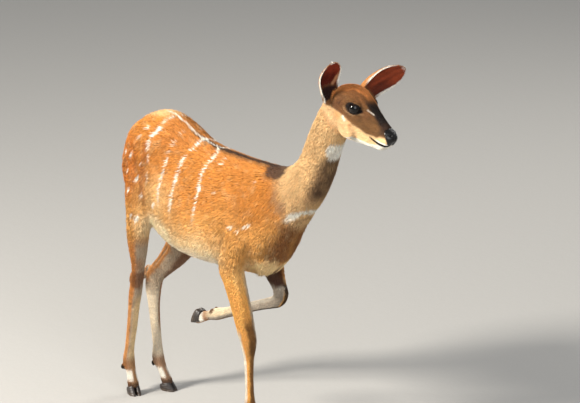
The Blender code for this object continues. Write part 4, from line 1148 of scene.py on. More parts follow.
    # fetlocks brown, pasterns with two white spots in front, dark round the hoof
    foot = np.where(which == 2, ease(0.80, 0.86, along), ease(0.105, 0.080, z)) * leg
    c = lay(points, c, srgb(146, 96, 58), foot * 0.8)
    hoof_near = np.where(which == 2, ease(0.945, 0.985, along), ease(0.040, 0.028, z)) * leg
    spot = np.where(which == 2, ease(0.86, 0.89, along) * ease(0.965, 0.93, along), ease(0.068, 0.058, z) * ease(0.034, 0.042, z)) * leg
    c = lay(points, c, WHITE, spot * ease(0.15, 0.5, np.abs(ny)) * 0.95)
    c = lay(points, c, DARK, hoof_near * 0.8)
    for px, py, pz, _ in DEW_CLAWS:
        c = lay(points, c, BLACK if pz < 0.2 else srgb(112, 84, 62), ease(0.0100, 0.0070, np.linalg.norm(points - np.array([px, py, pz]), axis=1)))
    return face_markings(skin_points, skin_normals, c, head, rough, fine)


def face_markings(skin_points, skin_normals, c, head, rough, fine):
    points, normals = straight(skin_points, skin_normals)
    x, y, z = points.T
    nx, ny, nz = normals.T
    q = mirrored(points)
    side = np.abs(ny)
    # the face starts from its brown, which is partly painted shadow of the ear
    h = FACE_BROWN_AND_SHADE * (1 - ease(0.30, 0.22, x)[:, None] * 0.25) + srgb(150, 96, 56) * ease(0.30, 0.22, x)[:, None] * 0.25
    h = np.array(h)
    # rufous crown and forehead; the temples and the face between eye and nose are laid brown, partly hair and partly
    # painted shadow of the ears
    crown = ease(0.35, 0.75, nz + 0.1 * rough) * ease(0.335, 0.285, x)
    h = lay(points, h, srgb(150, 92, 48), crown * ease(0.044, 0.024, np.abs(y)) * 0.5)
    crown = ease(0.20, 0.50, nz + 0.1 * rough) * ease(0.312, 0.290, x)
    # painted light on the left: the rufous reaches 1.6 cm further down that side of the crown, the right side staying
    # brown as painted shadow of the right ear
    edge = np.interp(x, [0.19, 0.235, 0.255, 0.275, 0.300], [0.034, 0.027, 0.017, 0.007, 0.004]) + np.where(y > 0, 0.016, 0.0)
    h = lay(points, h, srgb(228, 146, 78), crown * ease(0.004, -0.004, np.abs(y) + 0.004 * rough - edge) * 0.92)
    h = lay(points, h, BROWN, 0.55 * blob(q, (0.218, -0.044, 0.916), (0.034, 0.022, 0.030)))
    h = lay(points, h, BROWN, 0.40 * blob(q, (0.300, -0.026, 0.895), (0.048, 0.018, 0.020)))
    # dark band down the nose
    band = ease(0.0190, 0.0120, np.abs(y) + 0.0020 * rough) * ease(0.272, 0.305, x) * ease(0.05, 0.30, nz)
    h = lay(points, h, BLACK * 1.2, band * 0.97)
    h = lay(points, h, DARK, 0.80 * ease(0.335, 0.350, x) * ease(0.851, 0.862, z))
    # jaw: warm tan below a line from the ear to the corner of the mouth; the line is the edge of a painted shadow of
    # the ear on the face above it
    line = np.interp(x, [0.150, 0.199, 0.222, 0.239, 0.255, 0.268, 0.284, 0.306, 0.334, 0.345], [0.925, 0.8996, 0.8962, 0.8885, 0.8778, 0.8704, 0.8630, 0.8531, 0.8500, 0.852])
    jaw = ease(0.003, -0.004, z - line + 0.0015 * rough)
    h = lay(points, h, srgb(234, 194, 144), jaw * 0.97)
    hairs = noise(points * np.array([0.55, 1.0, 0.9]), 0.0050, 23)
    h = lay(points, h, srgb(176, 112, 58), 0.60 * jaw * ease(0.05, 0.75, hairs) * blob(q, (0.252, -0.036, 0.866), (0.040, 0.03, 0.030)))
    h = lay(points, h, srgb(224, 158, 90), 0.55 * jaw * blob(q, (0.218, -0.040, 0.888), (0.028, 0.03, 0.020)))
    white_line = np.interp(x, [0.230, 0.245, 0.262, 0.275, 0.300, 0.325, 0.345], [0.815, 0.835, 0.8345, 0.8315, 0.8272, 0.8288, 0.8320])
    under = np.maximum(ease(-0.55, -0.85, nz), ease(0.0025, -0.0015, z - white_line))
    h = lay(points, h, WHITE, ease(0.25, 0.70, under + 0.12 * rough) * ease(0.225, 0.243, x))
    # white upper lip beside the nose, white chin
    d, t = line_distance(q, MOUTH)
    h = lay(points, h, WHITE, 0.95 * ease(0.0085, 0.0055, d + 0.001 * rough) * ease(0.328, 0.340, x))
    h = lay(points, h, WHITE, 0.9 * ease(0.335, 0.348, x) * ease(0.838, 0.833, z))
    # white bar in front of the eye, pale brow, white spot on the cheek
    outer_ = mirrored(unturned(skin_points + skin_normals * coat_depth(skin_points)[:, None]))
    d, _ = line_distance(outer_, [(0.3028, -0.0200, 0.9069), (0.3180, -0.0140, 0.8980)])
    h = lay(points, h, srgb(214, 204, 190), 0.9 * ease(0.0027, 0.0008, d + 0.0006 * fine))
    d, _ = line_distance(outer_, [(0.2384, -0.0437, 0.8850), (0.2405, -0.0418, 0.8770)])
    h = lay(points, h, WHITE, 0.85 * ease(0.0056, 0.0016, d + 0.0012 * fine))
    for s in (-1, 1):
        metric, u, v, w = lid_place(skin_points, s)
        brow = ease(1.40, 1.52, metric) * ease(1.95, 1.65, metric) * ease(0.002, 0.007, v)
        h = lay(points, h, srgb(196, 156, 112), 0.45 * brow)
        h = lay(points, h, BLACK, ease(1.42, 1.24, metric))
        corner = ease(0.0042, 0.0016, np.abs(v + 0.0008)) * ease(0.013, 0.017, u) * ease(0.027, 0.022, u) * (w > 0)
        h = lay(points, h, BLACK, corner)
    d, t = line_distance(q, MOUTH)
    h = lay(points, h, BLACK * 0.6, ease(0.0044, 0.0030, d) * (x > 0.312))
    h = h * np.exp(0.22 * noise(points * np.array([0.4, 1.0, 1.0]), 0.0040, 21))[:, None]
    h = lay(points, h, BLACK * 0.25, nose_pad(skin_points))
    c = c * (1 - head[:, None]) + h * head[:, None]
    # ears: red-brown inside with a pale fold, painted shade deep in the hollow, white rim, rufous back, white tufts at
    # the root
    share, ear = ear_share(skin_points)
    for i, name in enumerate(EARS):
        t, s, n, run, across, hollow = ear_place(skin_points, name)
        faces = skin_normals @ hollow
        here = share * (ear == i) * np.maximum(ease(0.22, 0.32, t), ease(0.25, -0.05, faces))
        e = np.tile(srgb(214, 150, 88), (len(points), 1))
        e = lay(points, e, DARK, 0.45 * ease(0.75, 0.95, t))
        inside = ease(-0.05, 0.25, faces)
        ridge = np.sin(s / 0.0026 + 1.5 * np.sin(t * 9)) * ease(0.2, 0.5, t)
        far_side = np.clip(s / 0.025, -1, 1)
        # painted shade: the right ear's hollow is laid a darker red-brown than the left's, with painted light towards
        # its top
        within = (srgb(98, 30, 16) if i == 0 else srgb(140, 62, 36)) * (1 + 0.16 * ridge + 0.10 * rough)[:, None]
        within = lay(points, within, srgb(150, 58, 34), 0.55 * ease(0.50, 0.75, t) * (i == 0))
        # painted shade deep in the hollow: darker towards the root and along one margin
        within = lay(points, within, srgb(50, 22, 16), 0.75 * ease(0.55, 0.12, t))
        within = lay(points, within, srgb(62, 26, 18), 0.65 * (ease(0.25, 0.8, far_side) * ease(0.75, 0.5, t) if i == 1 else ease(-0.35, -0.75, far_side)))
        if i == 0:
            # the front edge folds over low down and shows its pale hair
            edge = np.interp(t, [0.05, 0.094, 0.112, 0.16, 0.204, 0.30, 0.50], [-0.0140, -0.0117, 0.0010, 0.0110, 0.0180, 0.0260, 0.0340])
            middle = np.interp(t, [0.18, 0.37, 0.55, 0.70], [0.0085, 0.0205, 0.0265, 0.0280])
            fold = ease(0.0036, 0.0014, np.abs(s - middle)) * ease(0.17, 0.24, t) * ease(0.66, 0.52, t)
            within = lay(points, within, srgb(200, 146, 104), 0.75 * fold * (0.8 + 0.2 * fine))
            within = lay(points, within, srgb(112, 76, 46), ease(-0.0005, 0.0025, s - edge) * ease(0.34, 0.28, t))
        e = lay(points, e, within, inside)
        wide = np.interp(t, [r[0] for r in EAR], [r[1] for r in EAR]) * EARS[name][3] - 0.0016
        rim = ease(0.0017, 0.0007, wide - np.abs(s)) * ease(0.26, 0.38, np.where((s < 0) & (i == 0), t + 0.18, t))
        rim = np.maximum(rim, ease(0.962, 0.980, t)) * (np.abs(s) < wide + 0.0028)
        rim *= ease(-0.40, 0.0, faces)
        e = lay(points, e, WHITE, rim)
        e = lay(points, e, CREAM, 0.85 * ease(0.2, -0.1, faces) * ease(0.42, 0.26, t) * ease(-0.1, -0.5, far_side * (1 if i == 0 else -1)))
        c = c * (1 - here[:, None]) + e * here[:, None]
        # painted shade: the opening runs on down to a dark slit between the ear and the temple
        if i == 0:
            edge = np.interp(t, [0.05, 0.094, 0.112, 0.16, 0.204, 0.30], [-0.0140, -0.0117, 0.0010, 0.0110, 0.0180, 0.0260])
            left = np.interp(t, [0.02, 0.09, 0.12, 0.20, 0.32], [-0.0150, -0.0140, -0.0145, -0.0180, -0.0215])
            low_down = ease(0.06, 0.10, t) * ease(0.30, 0.24, t) * (np.abs(n) < 0.035) * ease(0.05, 0.25, faces)
            painted_slit_shade = low_down * ease(0.0008, -0.0008, s - edge) * ease(-0.0008, 0.0008, s - left)
            c = lay(points, c, srgb(46, 22, 16), painted_slit_shade)
            pale = ease(0.03, 0.07, t) * ease(0.34, 0.28, t) * (np.abs(n) < 0.035) * ease(0.0018, 0.0008, np.abs(s - left + 0.0012)) * ease(0.0, 0.15, faces)
            c = lay(points, c, WHITE, 0.9 * pale)
    return c


def nose_pad(points):
    """1 on the bare wet skin round the nostrils."""
    x, y, z = unturned(points).T
    edge = 0.3540 + 0.0100 * ease(0.864, 0.838, z) + 0.0050 * ease(0.866, 0.876, z) + 0.0030 * ease(0.014, 0.022, np.abs(y))
    return ease(-0.0006, 0.0008, x - edge) * (z > 0.8318)


# ---------------------------------------------------------------- lie of the coat
LIE = [
    ((-0.25, -0.01, 0.71), (0.26, 0.05, 0.03), (-1.0, 0.0, 0.0)),
    ((-0.25, -0.10, 0.60), (0.16, 0.05, 0.10), (-0.88, 0.0, -0.48)),
    ((-0.38, -0.10, 0.50), (0.08, 0.06, 0.08), (-0.72, 0.0, -0.70)),
    ((-0.28, -0.02, 0.41), (0.18, 0.08, 0.03), (-0.95, 0.05, -0.25)),
    ((-0.09, -0.07, 0.62), (0.07, 0.05, 0.08), (-0.66, 0.0, -0.75)),
    ((-0.10, -0.09, 0.50), (0.07, 0.05, 0.06), (-0.35, 0.0, -0.94)),
    ((-0.49, -0.09, 0.64), (0.08, 0.06, 0.09), (-0.52, 0.0, -0.85)),
    ((-0.50, -0.01, 0.76), (0.10, 0.05, 0.03), (-0.97, 0.0, -0.10)),
    ((-0.58, -0.03, 0.62), (0.04, 0.06, 0.10), (-0.12, 0.0, -1.0)),
    ((-0.50, -0.07, 0.47), (0.07, 0.05, 0.06), (-0.18, 0.0, -1.0)),
    ((0.01, -0.02, 0.52), (0.07, 0.07, 0.06), (-0.45, 0.0, -0.95)),
    ((-0.02, -0.02, 0.70), (0.05, 0.05, 0.03), (-0.85, 0.0, -0.40)),
    ((0.09, -0.03, 0.72), (0.06, 0.05, 0.09), (-0.50, 0.0, -0.87)),
    ((0.04, -0.03, 0.64), (0.05, 0.05, 0.05), (-0.58, 0.0, -0.82)),
    ((0.17, -0.02, 0.85), (0.03, 0.04, 0.05), (-0.52, 0.0, -0.86)),
    ((0.20, 0.0, 0.95), (0.03, 0.05, 0.02), (-1.0, 0.0, -0.15)),
    ((0.27, 0.0, 0.94), (0.03, 0.04, 0.02), (-0.86, 0.0, 0.30)),
    ((0.33, 0.0, 0.89), (0.04, 0.02, 0.02), (-0.80, 0.0, 0.55)),
    ((0.24, -0.04, 0.87), (0.03, 0.02, 0.03), (-0.86, 0.0, -0.35)),
    ((0.33, -0.02, 0.85), (0.03, 0.02, 0.02), (-0.95, 0.0, 0.05)),
    ((0.27, 0.0, 0.82), (0.06, 0.03, 0.02), (-1.0, 0.0, -0.05)),
    ((-0.12, -0.06, 0.35), (0.06, 0.05, 0.10), (-0.05, 0.0, -1.0)),
    ((-0.53, -0.06, 0.35), (0.06, 0.05, 0.10), (-0.10, 0.0, -1.0)),
    ((-0.11, -0.04, 0.12), (0.06, 0.05, 0.12), (0.0, 0.0, -1.0)),
    ((-0.59, -0.04, 0.12), (0.06, 0.05, 0.14), (0.0, 0.0, -1.0)),
]


def hair_lie(points, normals):
    there = unturned(points)
    q = mirrored(there)
    flow = np.zeros_like(points)
    for place, reach, way in LIE:
        off = (q - np.array(place)) / np.array(reach)
        w = 1.0 / (0.05 + (off * off).sum(axis=1)) ** 2
        flow += w[:, None] * unit(np.array(way))
    flow = spun(unit(flow), TURN * turn_share(there))
    which, along, far = leg_place(points)
    run = unit(np.array([-0.88, -0.33, -0.34]))
    share = ((which == 2) & (far < 0.05)) * ease(0.02, 0.12, along)
    flow = unit(flow) * (1 - share[:, None]) + run * share[:, None]
    on_ear, ear = ear_share(points)
    for i, name in enumerate(EARS):
        t, s, n, ahead, across, hollow = ear_place(points, name)
        way = ahead + across * (s / 0.03)[:, None] * 0.5
        w = on_ear * (ear == i)
        flow = flow * (1 - w[:, None]) + unit(way) * w[:, None]
    # gentle swirls so that the strokes don't run dead straight
    flow = unit(flow)
    sway = unit(np.cross(normals, flow))
    flow = flow + sway * (0.22 * noise(points, 0.035, 21) + 0.14 * noise(points, 0.012, 22))[:, None]
    flow = flow - normals * dot(flow, normals)[:, None]
    return unit(flow)


def hair_size(points, normals):
    """Length and width of a tuft and how many stand on a square metre."""
    head, neck, limb, low, tail = zones(points)
    points = unturned(points)
    x, y, z = points.T
    n = len(points)
    length, width, crowd = np.full(n, 0.0200), np.full(n, 0.00150), np.full(n, 190000.0)

    def mix(share, a, b, k):
        nonlocal length, width, crowd
        length = length * (1 - share) + a * share
        width = width * (1 - share) + b * share
        crowd = crowd * (1 - share) + k * share

    mix(neck, 0.0175, 0.00140, 230000)
    mix(limb, 0.0120, 0.00120, 330000)
    mix(low, 0.0075, 0.00095, 430000)
    mix(head, 0.0062, 0.00080, 720000)
    muzzle = head * ease(0.285, 0.33, x)
    mix(muzzle, 0.0036, 0.00060, 1100000)
    on_ear, _ = ear_share(turned(points))
    mix(on_ear, 0.0060, 0.00075, 600000)
    mix(tail, 0.0300, 0.00150, 330000)
    q = mirrored(points)
    long_hair = np.maximum(blob(q, (-0.02, 0.0, 0.485), (0.085, 0.075, 0.060)), blob(q, (-0.07, -0.03, 0.445), (0.06, 0.05, 0.04)))
    mix(long_hair * 0.8 * (1 - limb), 0.0320, 0.00165, 190000)
    hanging = blob(q, (-0.065, -0.015, 0.430), (0.060, 0.045, 0.045))
    mix(hanging * 0.9 * (1 - limb), 0.0420, 0.00160, 260000)
    under = ease(-0.5, -0.9, normals[:, 2]) * ease(0.47, 0.43, z) * (1 - limb) * (1 - head) * (1 - neck)
    mix(under * 0.7, 0.0250, 0.00160, 170000)
    return length, width, crowd


def scatter(skin, seed, share):
    """Roots spread evenly over the skin by area and crowd."""
    data = skin.data
    data.calc_loop_triangles()
    tri = np.empty(len(data.loop_triangles) * 3, int)
    data.loop_triangles.foreach_get("vertices", tri)
    tri = tri.reshape(-1, 3)
    points, normals = points_of(data), normals_of(data)
    a, b, c = points[tri[:, 0]], points[tri[:, 1]], points[tri[:, 2]]
    area = np.linalg.norm(np.cross(b - a, c - a), axis=1) / 2
    middle = (a + b + c) / 3
    facing = unit(np.cross(b - a, c - a))
    crowd = hair_size(middle, facing)[2] * share
    bare = np.maximum(nose_pad(middle), 0.0)
    for side in (-1, 1):
        metric = lid_place(middle, side)[0]
        bare = np.maximum(bare, ease(1.14, 1.06, metric))
    there = unturned(middle)
    d, _ = line_distance(mirrored(there), MOUTH)
    bare = np.maximum(bare, ease(0.0032, 0.0020, d) * (there[:, 0] > 0.314))
    on_ear, ear = ear_share(middle)
    for i, name in enumerate(EARS):
        t, s, n, run, across, hollow = ear_place(middle, name)
        inside = (facing @ hollow > 0.15) * on_ear * (ear == i)
        bare = np.maximum(bare, inside * 0.72)
    # soles and the ends of the legs under the hooves
    which, along, far = leg_place(middle)
    z = middle[:, 2]
    bare = np.maximum(bare, np.where(which == 2, along > 0.985, z < 0.0180) * (far < 0.05))
    expected = area * crowd * (1 - np.clip(bare, 0, 1))
    order = np.lexsort((np.round(middle[:, 2] / 0.01), np.round(middle[:, 0] / 0.01)))
    total = np.concatenate([[0.0], np.cumsum(expected[order])])
    rng = np.random.default_rng(seed)
    spots = np.arange(0.5, total[-1], 1.0) + rng.uniform(-0.45, 0.45, int(max(0, math.ceil(total[-1] - 0.5))))
    face = order[np.clip(np.searchsorted(total, spots, "right") - 1, 0, len(order) - 1)]
    u, v = rng.random(len(face)), rng.random(len(face))
    over = u + v > 1
    u, v = np.where(over, 1 - u, u), np.where(over, 1 - v, v)
    w = 1 - u - v
    t = tri[face]
    root = points[t[:, 0]] * w[:, None] + points[t[:, 1]] * u[:, None] + points[t[:, 2]] * v[:, None]
    normal = unit(normals[t[:, 0]] * w[:, None] + normals[t[:, 1]] * u[:, None] + normals[t[:, 2]] * v[:, None])
    return root, normal, rng


def nearest(tree, points):
    """The nearest place on the skin and the normal there."""
    place, normal = np.empty_like(points), np.empty_like(points)
    find = tree.find_nearest
    for i, p in enumerate(points):
        hit, n, _, _ = find(p)
        place[i] = hit
        normal[i] = n
    return place, normal


def grow_coat(skin, share):
    """The tufts as arrays: five points each, a closed sliver that widens from its root and narrows to its tip."""
    root, normal, rng = scatter(skin, 11, share)
    count = len(root)
    lie = hair_lie(root, normal)
    length, width, _ = hair_size(root, normal)
    depth = coat_depth(root)
    on_ear, ear = ear_share(root)
    depth = depth * (1 - on_ear) + 0.0012 * on_ear
    length = length * rng.uniform(0.70, 1.15, count)
    width = width * rng.uniform(0.80, 1.25, count) / math.sqrt(share)
    spread = rng.normal(0, 0.13, count)
    side = np.cross(normal, lie)
    lie = unit(lie + side * spread[:, None])
    side = unit(np.cross(normal, lie))
    lift = depth * rng.uniform(0.40, 0.82, count)
    stand = rng.random(count) < 0.03
    lift = np.where(stand, depth * 1.05, lift)
    hanging = blob(mirrored(root), (-0.065, -0.015, 0.430), (0.060, 0.045, 0.045)) * (1 - zones(root)[2])
    lift = lift + hanging * rng.uniform(0.0, 0.012, count)
    mid = root + lie * (length * 0.40)[:, None]
    tip = root + lie * length[:, None]
    tree = BVHTree.FromObject(skin, bpy.context.evaluated_depsgraph_get())
    loose = on_ear > 0.3
    fixed = ~loose
    mid_n, tip_n = normal.copy(), normal.copy()
    place, n = nearest(tree, mid[fixed])
    mid[fixed], mid_n[fixed] = place, n
    place, n = nearest(tree, tip[fixed])
    tip[fixed], tip_n[fixed] = place, n
    mid = mid + mid_n * (lift * 0.62)[:, None]
    tip = tip + tip_n * lift[:, None]
    mid_low = mid - mid_n * (width * 0.10)[:, None]
    half = side * (width * 0.5)[:, None]
    points = np.empty((count, 5, 3))
    points[:, 0] = root - normal * 0.0005
    points[:, 1] = mid_low - half
    points[:, 2] = mid + mid_n * (width * 0.26)[:, None]
    points[:, 3] = mid_low + half
    points[:, 4] = tip
    colour = markings(root, normal)
    vary = rng.normal(0, 1, count)
    streak = noise(root * np.array([0.42, 1.0, 0.55]), 0.0058, 31) * 0.75 + noise(root * np.array([0.6, 1.0, 0.7]), 0.020, 32) * 0.45
    bright = np.exp(0.080 * vary + 0.150 * streak)
    warm = np.clip(rng.normal(0, 0.03, count), -0.08, 0.08)
    colour = colour * bright[:, None] * np.stack([1 + warm, np.ones(count), 1 - warm], axis=1)
    # painted shade at the root of each tuft and along its two lower edges, painted highlight at its tip
    shades = np.empty((count, 5, 3))
    for i, k in enumerate((0.72, 0.96, 1.0, 0.96, 1.12)):
        shades[:, i] = colour * k
    return points, np.clip(shades, 0.0, 0.95), root, length


def group_of(root):
    head, neck, limb, low, tail = zones(root)
    x, y, z = root.T
    label = np.full(len(root), "trunk_right", dtype=object)
    label[y >= 0] = "trunk_left"
    label[neck > 0.5] = "neck"
    label[(limb > 0.5) & (x > -0.35)] = "forelegs"
    label[(limb > 0.5) & (x <= -0.35)] = "hindlegs"
    label[head > 0.5] = "head"
    share, _ = ear_share(root)
    label[share > 0.3] = "ears"
    label[tail > 0.5] = "tail"
    return label


# ---------------------------------------------------------------- materials
def material(name, rough, specular=0.5, base=None, attribute=None, bumps=(), vary=0.0, **sockets):
    """Principled, coloured by a point attribute or one colour, with layers of noise for variation and bump.
    A bump is its scale, its strength in metres, its stretch along x, y, z and its kind."""
    made = bpy.data.materials.new(name)
    made.use_nodes = True
    tree = made.node_tree
    shader = tree.nodes["Principled BSDF"]
    shader.inputs["Roughness"].default_value = rough
    shader.inputs["Specular IOR Level"].default_value = specular
    for label, value in sockets.items():
        shader.inputs[label.replace("_", " ")].default_value = value
    place = tree.nodes.new("ShaderNodeTexCoord")

    def noise_node(scale, stretch, kind="noise", detail=4.0):
        map_ = tree.nodes.new("ShaderNodeMapping")
        map_.inputs["Scale"].default_value = stretch
        tree.links.new(place.outputs["Object"], map_.inputs["Vector"])
        node = tree.nodes.new("ShaderNodeTexVoronoi" if kind == "cells" else "ShaderNodeTexNoise")
        node.inputs["Scale"].default_value = scale
        if kind != "cells":
            node.inputs["Detail"].default_value = detail
        tree.links.new(map_.outputs["Vector"], node.inputs["Vector"])
        return node.outputs["Distance" if kind == "cells" else "Fac"]

    if attribute:
        source = tree.nodes.new("ShaderNodeAttribute")
        source.attribute_name = attribute
        colour = source.outputs["Color"]
    else:
        source = tree.nodes.new("ShaderNodeRGB")
        source.outputs["Color"].default_value = (*base, 1.0)
        colour = source.outputs["Color"]
    if vary:
        ramp = tree.nodes.new("ShaderNodeMapRange")
        ramp.inputs["From Min"].default_value = 0.3
        ramp.inputs["From Max"].default_value = 0.7
        ramp.inputs["To Min"].default_value = 1.0 - vary
        ramp.inputs["To Max"].default_value = 1.0 + vary
        tree.links.new(noise_node(140.0, (1, 1, 1)), ramp.inputs["Value"])
        mult = tree.nodes.new("ShaderNodeVectorMath")
        mult.operation = "SCALE"
        tree.links.new(colour, mult.inputs[0])
        tree.links.new(ramp.outputs["Result"], mult.inputs["Scale"])
        colour = mult.outputs["Vector"]
    tree.links.new(colour, shader.inputs["Base Color"])
    before = None
    for scale, strength, stretch, kind in bumps:
        bump = tree.nodes.new("ShaderNodeBump")
        bump.inputs["Strength"].default_value = 1.0
        bump.inputs["Distance"].default_value = strength
        tree.links.new(noise_node(scale, stretch, kind), bump.inputs["Height"])
        if before is not None:
            tree.links.new(before, bump.inputs["Normal"])
        before = bump.outputs["Normal"]
    if before is not None:
        tree.links.new(before, shader.inputs["Normal"])
    return made


def paint(data, colours):
    layer = data.attributes.new("colour", "FLOAT_COLOR", "POINT")
    full = np.ones((len(data.vertices), 4), np.float32)
    full[:, :3] = colours
    layer.data.foreach_set("color", full.ravel())


skin_material = material(
    "skin", 0.80, 0.12, attribute="colour", vary=0.10,
    bumps=((900.0, 0.0006, (1, 1, 0.22), "noise"), (260.0, 0.0012, (1, 1, 0.6), "noise")),
)
coat_material = material("coat", 0.66, 0.14, attribute="colour", vary=0.07, bumps=((2200.0, 0.00025, (1, 1, 0.3), "noise"),), Sheen_Weight=0.03, Sheen_Roughness=0.5)
nose_material = material("wet_nose", 0.24, 0.20, attribute="colour", bumps=((1500.0, 0.0002, (1, 1, 1), "cells"), (420.0, 0.0003, (1, 1, 1), "noise")), Coat_Weight=0.40, Coat_Roughness=0.08)
hoof_material = material("horn", 0.42, 0.45, attribute="colour", vary=0.22, bumps=((420.0, 0.0005, (0.25, 0.25, 3.0), "noise"), (90.0, 0.0006, (1, 1, 0.5), "noise")), Coat_Weight=0.15, Coat_Roughness=0.35)
eye_material = material("eye", 0.16, 0.10, attribute="colour", vary=0.10, bumps=((700.0, 0.00002, (1, 1, 1), "noise"),), Coat_Weight=0.45, Coat_Roughness=0.03)

# ---------------------------------------------------------------- the pieces
to_frame = Matrix.Translation((-CENTRE_X, -CENTRE_Y, 0.0))


def placed(thing, *nodes, finish="rufous_coat"):
    thing.data.transform(to_frame)
    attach(thing, "root")
    if nodes:
        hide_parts(*nodes)
    return thing


def uv_of_roots(skin, root):
    """An unwrap of a lighter copy of the skin, read at each root."""
    copy = as_object("unwrap", skin.data.copy(), scene.collection)
    thin = copy.modifiers.new("thin", "DECIMATE")
    thin.ratio = min(1.0, 16000 / len(skin.data.polygons))
    settled(copy)
    bpy.context.view_layer.objects.active = copy
    for other in bpy.context.view_layer.objects:
        other.select_set(other == copy)
    bpy.ops.object.mode_set(mode="EDIT")
    bpy.ops.mesh.select_all(action="SELECT")
    bpy.ops.uv.smart_project(angle_limit=math.radians(66), island_margin=0.004, area_weight=0.0, correct_aspect=True)
    bpy.ops.object.mode_set(mode="OBJECT")
    data = copy.data
    data.calc_loop_triangles()
    uv = np.empty(len(data.loops) * 2)
    data.uv_layers.active.data.foreach_get("uv", uv)
    uv = uv.reshape(-1, 2)
    tri = np.array([t.vertices[:] for t in data.loop_triangles])
    loops = np.array([t.loops[:] for t in data.loop_triangles])
    points = points_of(data)
    tree = BVHTree.FromPolygons([Vector(p) for p in points], [tuple(int(i) for i in t) for t in tri])
    found = np.empty((len(root), 3))
    index = np.empty(len(root), int)
    for i, p in enumerate(root):
        hit, _, face, _ = tree.find_nearest(p)
        found[i] = hit
        index[i] = face
    a, b, c = (points[tri[index, k]] for k in range(3))
    n = np.cross(b - a, c - a)
    size = np.maximum((n * n).sum(axis=1), 1e-18)
    wa = dot(np.cross(b - found, c - found), n) / size
    wb = dot(np.cross(c - found, a - found), n) / size
    weights = np.clip(np.stack([wa, wb, 1 - wa - wb], axis=1), 0, 1)
    weights /= weights.sum(axis=1, keepdims=True)
    place = (uv[loops[index]] * weights[:, :, None]).sum(axis=1)
    bpy.data.objects.remove(copy, do_unlink=True)
    return np.clip(place, 0.002, 0.998)


def coat_mesh(name, points, shades, place):
    count = len(points)
    base = (np.arange(count) * 5)[:, None, None]
    faces = (base + np.array([[0, 2, 1], [0, 3, 2], [0, 1, 3], [1, 2, 4], [2, 3, 4], [3, 1, 4]])[None]).reshape(-1, 3)
    data = mesh_from(name, points.reshape(-1, 3), faces)
    paint(data, shades.reshape(-1, 3))
    layer = data.uv_layers.new(name="OFBake")
    patch = np.array([[0, -0.0015], [-0.0015, 0], [0, 0.0004], [0.0015, 0], [0, 0.0015]])
    corner = (place[:, None, :] + patch[None]).reshape(-1, 2)[faces.ravel()]
    layer.data.foreach_set("uv", corner.astype(np.float32).ravel())
    data.materials.append(coat_material)
    data.shade_smooth()
    return as_object(name, data, folder)


FLESH = ["head", "neck", "trunk", "tail", "ear_left", "ear_right"] + [
    f"{leg}_{side}_{part}" for leg in ("foreleg", "hindleg") for side in ("left", "right") for part in ("upper", "lower")
]

skin = build_skin()
skin_points = points_of(skin.data)
skin_normals = normals_of(skin.data)
colours = markings(skin_points, skin_normals)
# painted shade under the hair: the skin is laid 22 % darker wherever the coat covers it
covered = 1 - np.clip(ear_share(skin_points)[0] + nose_pad(skin_points), 0, 1)
paint(skin.data, np.clip(colours * (1 - 0.22 * covered)[:, None], 0, 0.95))
skin.data.materials.append(skin_material)
skin.data.materials.append(nose_material)
wet = nose_pad(skin_points) > 0.5
flat = np.array([int(all(wet[i] for i in f.vertices)) for f in skin.data.polygons], dtype=np.int32)
skin.data.polygons.foreach_set("material_index", flat)

tufts, shades, root, length = grow_coat(skin, COAT_SHARE)
place = uv_of_roots(skin, root)
label = group_of(root)
total = 0
for name in sorted(set(label)):
    chosen = np.flatnonzero(label == name)
    parts = math.ceil(len(chosen) * 6 / 190000)
    for i, some in enumerate(np.array_split(chosen, parts)):
        piece = coat_mesh(f"coat_{name}" + (f"_{i + 1}" if parts > 1 else ""), tufts[some], shades[some], place[some])
        placed(piece)
        total += len(some)
    print("coat", name, len(chosen))
print("tufts", total, "triangles", total * 6, "skin", sum(len(f.vertices) - 2 for f in skin.data.polygons))
placed(skin, *FLESH)


def eyeball(name, side):
    """A dark eye: a ball with a clear bulge in front, brown round a wide dark pupil."""
    centre, out, ahead, up = eye_axes(side)
    mesh = bmesh.new()
    bmesh.ops.create_uvsphere(mesh, u_segments=64, v_segments=48, radius=1.0)
    data = bpy.data.meshes.new(name)
    mesh.to_mesh(data)
    mesh.free()
    p = points_of(data)
    # the pole of the ball looks outward
    turned = p[:, [0]] * ahead + p[:, [1]] * up + p[:, [2]] * out
    front = p[:, 2]
    bulge = 1 + 0.045 * ease(0.70, 0.97, front)
    set_points(data, centre + turned * (EYE_R * bulge)[:, None])
    u, v = p[:, 0], p[:, 1]
    pupil = np.hypot(u / 0.46, v / 0.30)
    ring = np.hypot(u, v)
    colour = np.tile(srgb(18, 10, 7), (len(p), 1))
    streak = 0.5 + 0.5 * np.sin(np.arctan2(v, u) * 37) * 0.5
    colour = colour * (0.75 + 0.5 * streak)[:, None]
    colour = lay(p, colour, srgb(2, 2, 2), ease(1.12, 0.92, pupil))
    colour = lay(p, colour, srgb(9, 7, 6), ease(0.66, 0.74, ring))
    paint(data, colour)
    data.materials.append(eye_material)
    data.shade_smooth()
    return as_object(name, data, folder)


for side, word in ((-1, "right"), (1, "left")):
    placed(eyeball(f"eyeball_{word}", side), f"eye_{word}", finish="eye")

